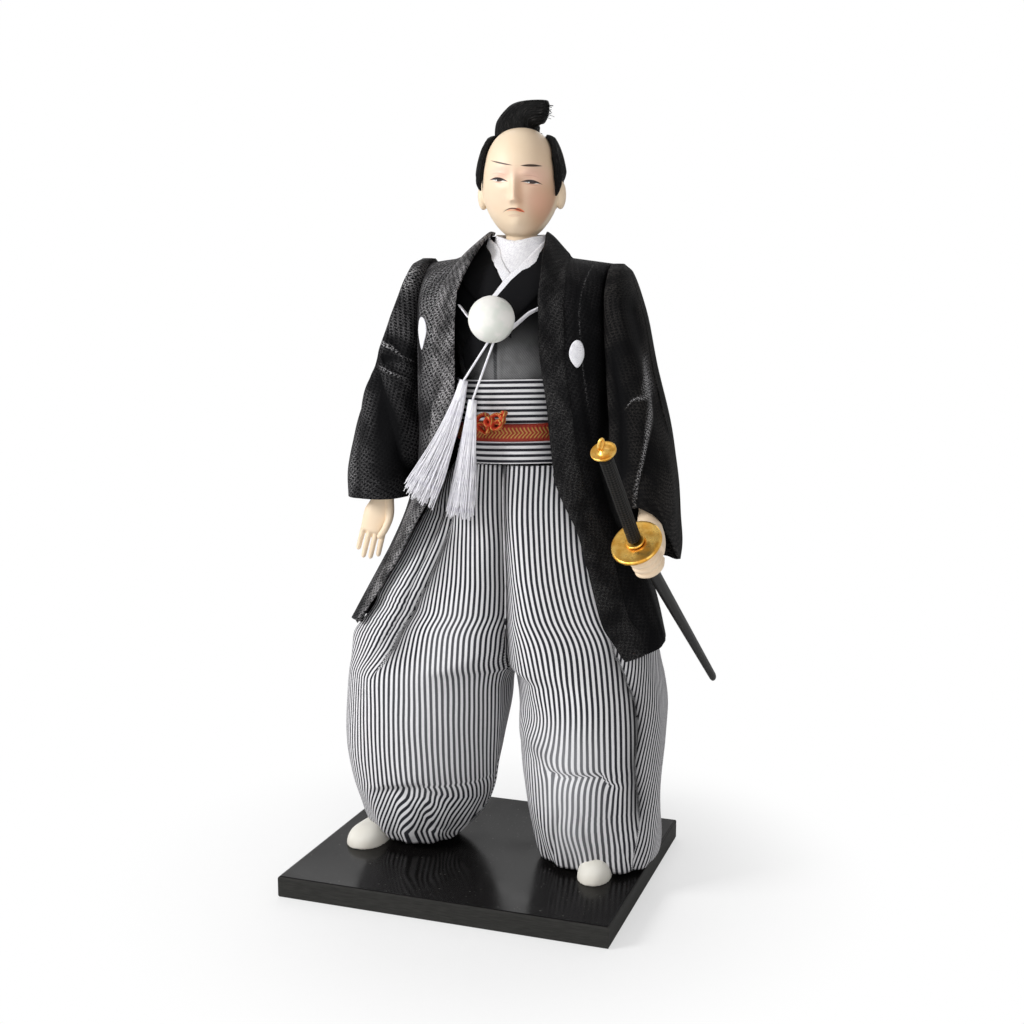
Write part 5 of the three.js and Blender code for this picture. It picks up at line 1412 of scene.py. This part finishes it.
def flat_cord(side, path, wide):
    """A flat cord along a path from the coat's edge to the ball"""
    points = tube(smooth_path(path, 40), CORD_THICK, wide, 20, up=(0, -1, 0.2), power=0.8)
    make(f"coat_cord_{side}_strip", [points], f"{side}_coat_cord", SILK)


def tassel(side, pivot, path, seed, spread, count):
    """Many silk threads along one path: each keeps its own place in the bundle's section, which
    opens towards the ends, and waves a little"""
    draw = np.random.default_rng(seed)
    route = smooth_path(path, 26)
    t = np.linspace(0, 1, 26)
    across, normal = path_frame(route, (0, -1, 0))
    ring = np.sqrt(draw.uniform(0, 1, count))
    turn = draw.uniform(0, math.tau, count)
    open_by = 1.1 + spread * t**1.1
    a = (ring * np.cos(turn))[:, None] * open_by * 1.35
    b = (ring * np.sin(turn))[:, None] * open_by * 0.6
    wave = draw.uniform(0.0, 1.1, (count, 1)) * t * np.sin(
        t * draw.uniform(3, 9, (count, 1)) + draw.uniform(0, 6.3, (count, 1)))
    length = draw.uniform(0.80, 1.0, (count, 1)) ** 0.7
    along = t * length
    base = np.stack([np.interp(along, t, route[:, k]) for k in range(3)], -1)
    lines = base + (a + wave)[..., None] * across + b[..., None] * normal
    threads = tube(lines, THREAD, THREAD, 4, up=(0.3, -1, 0.1))
    bound = tube(route[:5], TASSEL_HEAD, TASSEL_HEAD, 16, up=(0, -1, 0))
    make(f"tassel_{side}", list(threads) + [bound], f"{side}_tassel", SILK,
         body=f"{side}_tassel_hang")
    cord = smooth_path([pivot, mix(np.array(pivot), np.array(path[0]), 0.5), path[0]], 24)
    make(f"tassel_cord_{side}_thread", [tube(cord, TASSEL_CORD, TASSEL_CORD, 10, up=(0, -1, 0))],
         f"{side}_tassel_cord", SILK, body=f"{side}_tassel_hang")


ball()
flat_cord("right", [(-15.4, -24.6, 215.8), (-13, -25.8, 213.6), (-10.4, -28.5, 211.8),
                    (-7, -32, 210.6)], 1.3)
flat_cord("left", [(15.2, -24.6, 214.8), (12, -26.4, 213), (8.6, -29, 209.6),
                   (5.6, -32, 206.4)], 1.5)
tassel("right", (-1.6, -30.5, 203.6), [(-11.6, -30.3, 189), (-14.0, -31, 179.5),
                                       (-18.0, -33, 167.5), (-23.6, -34.5, 155), (-29, -35, 144.5)],
       51, 4.0, 230)
tassel("left", (0.2, -30.5, 203.4), [(-7.8, -31.4, 182), (-9.4, -31.6, 168), (-11.6, -31.4, 152),
                                     (-13.6, -31, 138)], 52, 3.0, 210)


# Sleeves, arms and hands

# Height, inner and outer edge, and depth in front and behind
SLEEVE_ROWS = {"right": [
    (233.8, 36.4, 39.6, 3, 3.5), (231.2, 36.4, 42.2, 10, 10), (221.4, 36.4, 45, 18, 16),
    (206.6, 36.4, 51.6, 20.5, 18.5), (186.6, 36.8, 60.2, 21, 20), (166.6, 37, 66.1, 22, 20.5),
    (150.6, 40.6, 69, 23, 20), (142.4, 43.4, 68.4, 23, 19),
], "left": [
    (231, 36.4, 39.4, 3, 3.5), (228.2, 36.4, 41.6, 10, 10), (218, 36.4, 44, 18, 15.5),
    (196.6, 36.6, 50.8, 20, 17.5), (177.6, 37.4, 56.2, 21.5, 17.5), (161.6, 38.6, 59.7, 23.5, 16.5),
    (150, 42, 61.8, 25.5, 14.5), (138, 45.5, 62.4, 22, 12.5), (128, 48.5, 63.2, 16, 9),
    (119.5, 51.3, 62.4, 11, 5),
]}
# Folds of a sleeve: their line, depth and how wide they are on their low and high sides
SLEEVE_FOLDS = {
    "right": [([(204, -46.5), (192, -35)], 1.6, 1.2, 4.0), ([(194, -48.5), (187, -36)], 1.8, 1.0, 4.0),
              ([(193, -52), (170, -44), (143, -37.5)], 1.6, 5.0, 2.0),
              ([(228, -43), (206, -50), (190, -57)], 0.9, 2.5, 2.0),
              ([(186, -62), (160, -59), (143, -58)], 0.8, 3.0, 2.0)],
    "left": [([(214, 45.5), (200, 50.6), (187.7, 53.6), (175, 56), (164, 55.4), (150, 52.4),
               (140, 51)], 2.2, 1.6, 4.0),
             ([(196, 41), (176, 45), (158, 46)], 1.0, 3.0, 3.0)],
}
# Lights and shadows: distance from the middle, height, width, reach and power
SLEEVE_LIGHTS = {
    "right": [(-41, 226, 6.0, 5.0, 0.9), (-49.5, 208, 6.0, 3.5, 0.6), (-61, 176, 3.0, 22, 0.5),
              (-62, 152, 4.5, 8, 0.5), (-45, 196.5, 7.0, 2.2, -0.8), (-47, 172, 7.5, 13, -1.0),
              (-48, 152, 8.0, 9, -0.6)],
    "left": [(52.6, 187.5, 1.4, 4.0, 1.3), (45, 205, 6.0, 30, -0.6), (46, 160, 4.0, 14, -0.7),
             (62, 180, 3.5, 40, 0.18)],
}
# Painted glints along lines down the left sleeve and across both: their line, width and power
DOWN_GLINTS = {
    "right": [],
    "left": [([(212, 49.0), (193, 51.6), (181.5, 54.2), (169.4, 54.6), (152.3, 52.1), (143, 50.6)],
              0.9, 1.5)],
}
CROSS_GLINTS = {
    "right": [([(-52, 203.5), (-44.3, 199.8), (-36.6, 194.4)], 0.8, 1.6),
              ([(-51, 193), (-44.4, 190.5), (-37.5, 188)], 0.5, 1.2),
              ([(-48, 230), (-42, 226.5), (-38, 229)], 0.7, 1.3)],
    "left": [([(45.5, 178.5), (49, 182.5), (53, 183.5)], 0.7, 1.1)],
}


def sleeve(side):
    """Ovals squared by a power, from a point at the shoulder to the mouth. The front is creased
    along slanting lines, with painted shade in the creases, and painted light and painted glints
    where light catches the weave."""
    table = SLEEVE_ROWS[side]
    sign = SIGN[side]
    top, low = table[0][0], table[-1][0]
    a, v = grid(241, 170, 0, math.tau)
    c, s = np.cos(a), np.sin(a)
    end = low + 0 * a
    if side == "left":
        inward = 0.5 - 0.5 * c
        end = low + 22 * (0.5 - 0.5 * s) ** 1.5 * rise(inward, -0.2, 0.25) + 5 * inward
    height = mix(top, end, v)
    near, far, ahead, behind = [rows_at(table, height, column) for column in (1, 2, 3, 4)]
    near = near - 0.8
    folded = np.sin(math.pi * (top - height) / (top - low)) ** 2
    fold = -1.0 * folded * (0.5 + 0.5 * np.cos(a * 5 + height / 14))
    fold = fold + 0.45 * folded * ripples(a / 2, height / 70, 61 + sign, 8)
    if side == "left":
        fold = fold + 1.9 * swell(height, 214, 13) * rise(c, 0.0, 0.6)
    square = np.where(c < 0, 0.55, 0.8)
    c, s = signed_power(c, square), signed_power(s, square)
    x = sign * ((near + far) / 2 + (far - near) / 2 * c)
    facing = rise(-np.sin(a), 0.0, 0.4)
    tone = swells(SLEEVE_LIGHTS[side], x, height) * facing
    for line, deep, soft_low, soft_high in SLEEVE_FOLDS[side]:
        heights = sorted(row[0] for row in line)
        off = x - rows_at(line, height, 1)
        here = within(height, heights[0] - 3, heights[-1] + 3, 5) * facing
        fold = fold - deep * crease(off, soft_low, soft_high) * here
        fold = fold + 0.5 * deep * swell(off, 2.5 * soft_high, 2.0 * soft_high) * here
        # painted shade in the fold
        tone = tone - 0.8 * crease(off, soft_low * 0.8, soft_high * 0.8) * here
    for line, wide, power in DOWN_GLINTS[side]:
        here = within(height, line[-1][0], line[0][0], 6) * facing
        tone = tone + power * swell(x, rows_at(line, height, 1), wide) * here
    for line, wide, power in CROSS_GLINTS[side]:
        here = within(x, line[0][0], line[-1][0], 2) * facing
        tone = tone + power * swell(height, np.interp(x, *zip(*line)), wide) * here
    x = x + sign * fold * c
    y = (np.where(np.sin(a) < 0, ahead, behind) + fold) * s
    points = np.stack((x, y, height + 0 * x), -1)
    make(f"sleeve_{side}", [closed(points, middle_of(points[:1]))], f"{side}_sleeve",
         SLEEVE[side], body=f"{side}_arm", inside=(sign * 50, 0, 180), wall=0.7,
         tones=[np.concatenate((tone[:1], tone))], cut=("hung", f"{side}_arm_wire"))


# A finger's radius, each finger's length, and the palm's end. The palm's rows are the distance
# from the wrist, the width and the thickness.
FINGER = 1.15
FINGERS = (10.4, 13.0, 12.6, 10.8)
PALM_END = 19.4
PALM = [(-4, 8.6, 6.6), (3, 7.8, 5.8), (6.5, 8.6, 5.8), (11, 11.2, 6.4), (17, 10.4, 5.2),
        (PALM_END, 8.2, 3.0)]


def hand_frame(wrist, tip, across):
    """Along the fingers, across the palm and through it, all at right angles"""
    along = unit(np.array(tip) - np.array(wrist))
    through = unit(np.cross(along, np.array(across)))
    return np.array(wrist), along, unit(np.cross(through, along)), through


def hand_point(hand, along, wide, through):
    """wrist + along + across + through"""
    return hand[0] + along * hand[1] + wide * hand[2] + through * hand[3]


def finger(points, radius, steps=20):
    """A round tube that thins to its tip and ends in a dome"""
    route = smooth_path(points, steps)
    t = np.linspace(0, 1, steps)
    dome = np.sqrt(np.clip(1 - ((t - 0.9) / 0.1).clip(0) ** 2 * 0.98, 0, 1))
    r = radius * (1 - 0.25 * t) * dome
    return tube(route, r, r, 16, up=(0.31, 0.2, 0.93))


def hand_of(side, grids, voxel):
    """A hand's overlapping forms, made one skin"""
    piece = make(f"hand_{side}", grids, f"{side}_hand", SKIN, body=f"{side}_arm",
                 maps=no_maps(grids))
    fused(piece, voxel, 5)


def open_hand():
    """The palm is a row of ovals; the fingers lie side by side and bend a little, and the thumb
    lies in front"""
    hand = hand_frame((-53.6, -8, 145.4), (-62.6, -11.4, 112.5), (0.97, 0.24, -0.1))
    a, along = grid(49, 40, 0, math.tau, PALM[0][0], PALM_END)
    wide, thick = rows_at(PALM, along, 1) / 2, rows_at(PALM, along, 2) / 2
    close = round_end(rise(along, PALM_END - 1.4, PALM_END))
    palm = hand_point(hand, along[..., None], (wide * close * np.cos(a))[..., None],
                      (thick * close * np.sin(a))[..., None])
    grids = [closed(palm, middle_of(palm[:1]))]
    digits = []
    for i, length in enumerate(FINGERS):
        wide = (i - 1.5) * 2.5
        digits.append(([(13.5, wide, 0.2), (15 + length * 0.5, wide * 1.08, -0.3),
                        (17.5 + length, wide * 1.12, -2.6)], 1.12))
    digits.append(([(3.5, 3.0, 1.6), (10, 5.2, 3.0), (16, 4.8, 4.0), (20, 3.2, 4.4)], 1.5))
    for places, thick in digits:
        grids.append(finger([hand_point(hand, *place) for place in places], FINGER * thick))
    hand_of("right", grids, 0.25)


# The guard's centre, the scabbard's axis away from it, and the hilt's
GUARD_AT = np.array([54.5, -34, 133.4])
SWORD = unit(np.array([0.179, 0.693, -0.698]))
HILT, HILT_LENGTH = unit(np.array([-0.077, -0.654, 0.753])), 42


def fist():
    """A rounded fist on its wrist, with four fingers and a thumb round the scabbard"""
    wrist = np.array([55.8, -17, 140])
    centre = GUARD_AT + SWORD * 8.5
    reach = wrist - centre
    out = unit(reach - SWORD * (reach @ SWORD))
    side = np.cross(SWORD, out)

    def at(a, o, s):
        return centre + SWORD * a + out * o + side * s

    route = smooth_path([wrist + [-4.4, 13, 22], wrist + [-2.8, 7.5, 10], wrist + [-1.4, 1, 0],
                         wrist + [0.6, -4.6, -7], at(0, 1, 0.5) + [0.7, 0, 0]], 40)
    t = np.linspace(0, 1, 40)
    r = mix(3.6, 5.7, rise(t, 0.5, 0.9)) * round_end(rise(t, 0.93, 1), 0.02)
    grids = [tube(route, r, r, 32, up=(1, 0, 0.1))]
    for a in (-4.4, -1.5, 1.4, 4.3):
        places = ((2.5, 4.2), (-1.5, 4.4), (-4.4, 1.6), (-4.2, -2.6), (-0.6, -4.2))
        grids.append(finger([at(a, o, s) for o, s in places], FINGER * 1.35, 36))
    grids.append(finger([at(3, 4, -3.6), at(5.6, 0.5, -5), at(6.6, -3.2, -3.4)], FINGER * 1.3, 24))
    hand_of("left", grids, 0.22)


for side in SIGN:
    sleeve(side)
open_hand()
fist()


# Sword

def along_sword(distance):
    """Guard centre + axis times the distance"""
    return GUARD_AT + SWORD * distance


def bar(name, start, end, wide, thin, node, finish, tip):
    """An oval bar between two points, whose width and thickness run evenly from the first number
    to the second, with rounded ends"""
    t = np.linspace(0, 1, 80)
    path = mix(start, end, t[:, None])
    length = np.linalg.norm(end - start)
    near = round_end(1 - (t * length / 0.6).clip(0, 1), 0.3)
    far = round_end(1 - ((1 - t) * length / max(0.6, tip)).clip(0, 1))
    size = near * far
    points = tube(path, mix(*wide, t) * size, mix(*thin, t) * size, 40, up=(1, 0, 0), power=0.9)
    make(name, [points], node, finish, body="sword")


def turned(name, centre, axis, profile, node):
    """A profile of radius and height carried round an axis"""
    rows = np.array(profile, float)
    a = np.linspace(0, math.tau, 73)
    side = unit(np.cross(axis, [1.0, 0.2, 0.1]))
    r = rows[:, :1]
    points = rings_on(centre + rows[:, 1:] * axis, side[None], np.cross(axis, side)[None],
                      r * np.cos(a), r * np.sin(a))
    make(name, [points], node, GOLD, body="sword", maps=no_maps([points]))


def rounded(radius, half, edge, dish=0.0):
    """Profile of a disc: flat faces, a rounded rim and a shallow dish inside the rim"""
    turn = np.linspace(0, math.pi, 13)
    rim = [(radius - edge + edge * math.sin(t), half * math.cos(t)) for t in turn]
    top = [(0, half - dish), (radius * 0.5, half - dish), (radius - edge * 1.9, half - dish)]
    low = [(r, -h) for r, h in reversed(top)]
    return top + rim + low


bar("scabbard_body", along_sword(2.25), along_sword(92.2), (3.1, 1.75), (2.1, 1.25), "scabbard",
    GLOSS, 2.2)
turned("guard_disc", GUARD_AT, -SWORD, rounded(9.5, 0.75, 0.7, 0.12), "sword_guard")
turned("washer_low", along_sword(1.5), -SWORD, rounded(3.6, 0.45, 0.3), "lower_guard_washer")
turned("washer_high", along_sword(-1.5), -SWORD, rounded(3.6, 0.45, 0.3), "upper_guard_washer")
hilt_start = along_sword(-1.95) + HILT * 0.6
bar("hilt_wrap", hilt_start, hilt_start + HILT * HILT_LENGTH, (2.9, 2.9), (2.3, 2.3), "sword_hilt",
    WRAP, 0.6)
pommel_at = hilt_start + HILT * (HILT_LENGTH + 0.3)
turned("pommel_cap", pommel_at, HILT, [
    (0, 0), (2.6, 0), (2.9, 0.15), (3.2, 1.0), (4.25, 1.75), (4.4, 1.95), (4.4, 2.35),
    (4.2, 2.55), (3.7, 2.3), (2.7, 2.15), (1.6, 2.35), (1.2, 3.0), (0.5, 3.2), (0, 3.2),
], "sword_pommel")
ring_turn = np.linspace(0, math.tau, 41)
ring_at = pommel_at + HILT * 5.5
ring_path = ring_at + 1.5 * (np.cos(ring_turn)[:, None] * np.array([0.5, 0, 0.866])
                             + np.sin(ring_turn)[:, None] * HILT)
ring = tube(ring_path, 0.5, 0.5, 16, up=(0.8, -0.5, 0.3), ends=False)
make("ring_of_pommel", [ring], "pommel_ring", GOLD, body="sword",
     maps=no_maps([ring]))


# Head and hair

HEAD_AT, HEAD_HALF = 260.0, (14.6, 17.6, 20.8)
EAR = (2.1, 3.1, 5.3)
HAIR_GAP, HAIR_THICK = 0.6, 1.9
# Hills of the face: height, place up the face, width, reach and place across it. In order: the
# wings of the nose, the eye hollows, the brows, the lips and the chin.
FACE_HILLS = [
    (0.9, -0.33, 0.06, 0.06, 0.10), (0.9, -0.33, 0.06, 0.06, -0.10),
    (-1.0, 0.03, 0.17, 0.09, 0.33), (-1.0, 0.03, 0.17, 0.09, -0.33),
    (0.9, 0.16, 0.22, 0.07, 0.33), (0.9, 0.16, 0.22, 0.07, -0.33),
    (0.7, -0.46, 0.16, 0.05, 0.0), (1.2, -0.74, 0.26, 0.13, 0.0),
]


def head_point(lon, lat, grow=0.0):
    """An egg that narrows to the jaw, pushed out by a nose, lips and chin and in at the eyes:
    x = wide c sin(lon), y = -deep c cos(lon) - the face's height there, where c is cos(lat), and
    its power 0.8 over the middle"""
    s = np.sin(lat)
    c = np.where(lat > 0, np.abs(np.cos(lat)) ** 0.80, np.cos(lat))
    front = np.clip(np.cos(lon), 0, None) * c
    low = np.clip(-s, 0, None)
    jaw = 1 - 0.15 * low**1.8
    side = np.sin(lon) * c

    def raised(height, place, wide, high, across):
        hill = np.exp(-((side - across) / wide) ** 2 - ((s - place) / high) ** 2)
        return np.where(front > 0, height, 0) * hill * rise(front, 0.0, 0.2)

    ridge = np.clip((0.30 - s) / 0.62, 0, 1) ** 1.3 * rise(s, -0.385, -0.315) * rise(front, 0, 0.2)
    face = 2.9 * ridge * np.exp(-(np.abs(side) / mix(0.075, 0.12, ridge)) ** 2)
    face = face + sum(raised(*hill) for hill in FACE_HILLS)
    back = np.clip(-np.cos(lon), 0, None)
    wide = (HEAD_HALF[0] + grow) * jaw
    deep = (HEAD_HALF[1] + grow) * (1 - 0.12 * low * (front > 0) - 0.2 * low * back)
    return np.stack((wide * c * np.sin(lon), -deep * c * np.cos(lon) - face,
                     HEAD_AT + (HEAD_HALF[2] + grow) * np.where(s < 0, 0.97, 1.0) * s), -1)


def head():
    """The head, neck and ears as one painted form"""
    lon, lat = grid(241, 181, 0, math.tau, math.pi / 2, -math.pi / 2)
    grids = [head_point(lon, lat)]
    a, z = grid(49, 12, 0, math.tau, 231.6, 252)
    r = mix(6.0, 5.6, (z - 231.4) / 20)
    neck = np.stack((r * np.cos(a), r * np.sin(a) + 0.4, z), -1)
    grids.append(closed(neck, middle_of(neck[:1]), middle_of(neck[-1:])))
    a, b = grid(33, 25, 0, math.tau, 0, math.pi)
    for side in (-1, 1):
        grids.append(globe(a, b, *EAR) + [side * HEAD_HALF[0], 1.0, HEAD_AT - 3.4])
    piece = make("painted_head", grids, "doll_head", FACE, body="head",
                 maps=no_maps(grids), head=True)
    fused(piece, 0.35, 3)


def hair_patch(name, node, start, end, low_at, high_at, seed):
    """Locks over part of the head, thick in the middle and thin at the edges, with combed
    grooves that run down it"""
    u, v = grid(181, 61)
    lon = np.radians(mix(start, end, u))
    lat = np.radians(mix(high_at(u), low_at(u), v))
    edge = np.minimum(np.sin(math.pi * v) * 1.8 + 0.1, np.sin(math.pi * u) * 2.2 + 0.2)
    edge = np.minimum(1, edge)
    groove = 0.16 * ripples(u * 9, v * 0.25, seed, 10) * edge
    lifted = head_point(lon, lat, HAIR_GAP + HAIR_THICK * edge**0.6)
    points = lifted + unit(lifted - head_point(lon, lat)) * groove[..., None]
    under = head_point(lon, lat, HAIR_GAP)
    flat = cloth_map(points)
    grids = [points, under[:, ::-1], np.stack((points[0], under[0])),
             np.stack((under[-1], points[-1])), np.stack((under[:, 0], points[:, 0])),
             np.stack((points[:, -1], under[:, -1]))]
    side_map = flat[:2, :1].repeat(len(u), 1)
    maps = [flat, flat[:, ::-1], flat[:2], flat[:2], side_map, side_map]
    make(name, grids, node, HAIR, body="head", maps=maps, head=True)


TOPKNOT_LIMIT, TOPKNOT_GIVE = 288.8, 3.0
# The topknot's path and its radius there
TOPKNOT = [(-1.5, 3, 277.0, 8.9), (-1.4, 3, 280.6, 8.9), (0.6, 2.4, 284.2, 7.5),
           (3.2, 1.0, 286.4, 6.2), (6.6, -0.6, 286.9, 5.3), (10.1, -1.4, 286.5, 4.4)]


def topknot():
    """A flat bundle of hair that stands on the crown and folds over to one side, with grooves
    along it and a few loose ends at its tip. Its top is pressed down: a height h over the limit
    becomes give (1 - exp(-h / give))"""
    steps = 70
    route = smooth_path([row[:3] for row in TOPKNOT], steps)
    t = np.linspace(0, 1, steps)
    r = np.interp(t, np.linspace(0, 1, len(TOPKNOT)), [row[3] for row in TOPKNOT])
    r = (r * round_end((t - 0.93) / 0.07, 0.03))[:, None]
    side, normal = path_frame(route, (0, -1, 0.1))
    a = np.linspace(0, math.tau, 241)
    groove = 0.30 * ripples(a[None, :] * 3, t[:, None] * 0.3, 71, 12) * np.sin(a / 2) ** 0.5
    rings = rings_on(route, side, normal, (r + groove) * np.cos(a), (0.74 * r + groove) * np.sin(a))
    rings[:, -1] = rings[:, 0]
    over = np.clip(rings[..., 2] - TOPKNOT_LIMIT, 0, None)
    rings[..., 2] += TOPKNOT_GIVE * (1 - np.exp(-over / TOPKNOT_GIVE)) - over
    points = closed(rings, route[0], route[-1])
    draw = np.random.default_rng(72)
    count = 26
    t = np.linspace(0, 1, 8)
    angle, ring = draw.uniform(0, math.tau, count), np.sqrt(draw.uniform(0, 1, count)) * 2.4
    base = (route[-6] + (ring * np.cos(angle))[:, None] * side[-1]
            + (ring * np.sin(angle))[:, None] * normal[-1])
    fly = unit(unit(route[-1] - route[-6]) + draw.normal(0, 0.22, (count, 3)) + [0, 0, 0.2])
    reach = draw.uniform(1.6, 3.6, (count, 1))
    lines = base[:, None, :] + (reach * t)[..., None] * fly[:, None, :]
    lines[..., 2] -= t**2 * 0.5
    hairs = tube(lines, 0.10, 0.10, 3, up=(0.1, 1, 0.2))
    make("topknot_hair", [points] + list(hairs), "topknot", HAIR, body="head",
         head=True)


head()
hair_patch("hair_left", "left_side_hair", 62, 106,
           lambda u: 8 - 20 * swell(u, 0.13, 0.10) - 4 * rise(u, 0.1, 0.5),
           lambda u: mix(22, 56, rise(u, -0.1, 0.45)), 81)
hair_patch("hair_back", "back_hair", 107.5, 252.5,
           lambda u: -36 + 30 * np.abs(2 * u - 1) ** 3,
           lambda u: 57 + 11 * swell(u, 0.5, 0.22), 82)
hair_patch("hair_right", "right_side_hair", 254, 298,
           lambda u: 8 - 14 * swell(u, 0.86, 0.12) - 4 * rise(u, 0.9, 0.5),
           lambda u: mix(56, 22, rise(u, 0.55, 1.1)), 83)
topknot()


# Stuffing inside the legs and the trunk

WADDING_ENDS, STRAW_TOP = (13.6, 151), 231


def padding(side):
    """Wadding wound round a leg's wire: a tapered tube with soft lumps"""
    sign = SIGN[side]
    ankle = ankle_of(side)
    share = np.linspace(*WADDING_ENDS, 50) / WAIST
    path = np.stack((mix(ankle[0], sign * HIP_X, share), mix(ankle[1], 0, share), share * WAIST), -1)
    t = np.linspace(0, 1, 50)[:, None]
    a = np.linspace(0, math.tau, 65)[None, :]
    r = mix(6, 9, t) * (1 + 0.05 * ripples(a / 2, t * 4, 91 + sign, 9))
    rings = rings_on(path, *path_frame(path, (0, -1, 0)), r * np.cos(a), r * np.sin(a))
    rings[:, -1] = rings[:, 0]
    grids = [closed(rings, path[0], path[-1])]
    make(f"leg_wadding_{side}", grids, f"{side}_leg_padding", WADDING,
                   maps=no_maps(grids))


def straw_core():
    """The trunk's straw: trunk points drawn in by a thread at even heights"""
    low = TRUNK_LOW - 0.1
    angle, height = grid(145, 90, -180, 180, STRAW_TOP, low)
    bound = 0.5 * np.abs(np.sin(height / 9)) ** 0.3
    stalk = 0.25 * np.cos(np.radians(angle) * 36)
    points = trunk_point(angle, height, -2.1 + bound + stalk)
    grids = [closed(points, [0, 0, STRAW_TOP], [0, 0, low])]
    make("straw_bundle", grids, "torso_core", STRAW, maps=no_maps(grids))


for side in SIGN:
    padding(side)
straw_core()
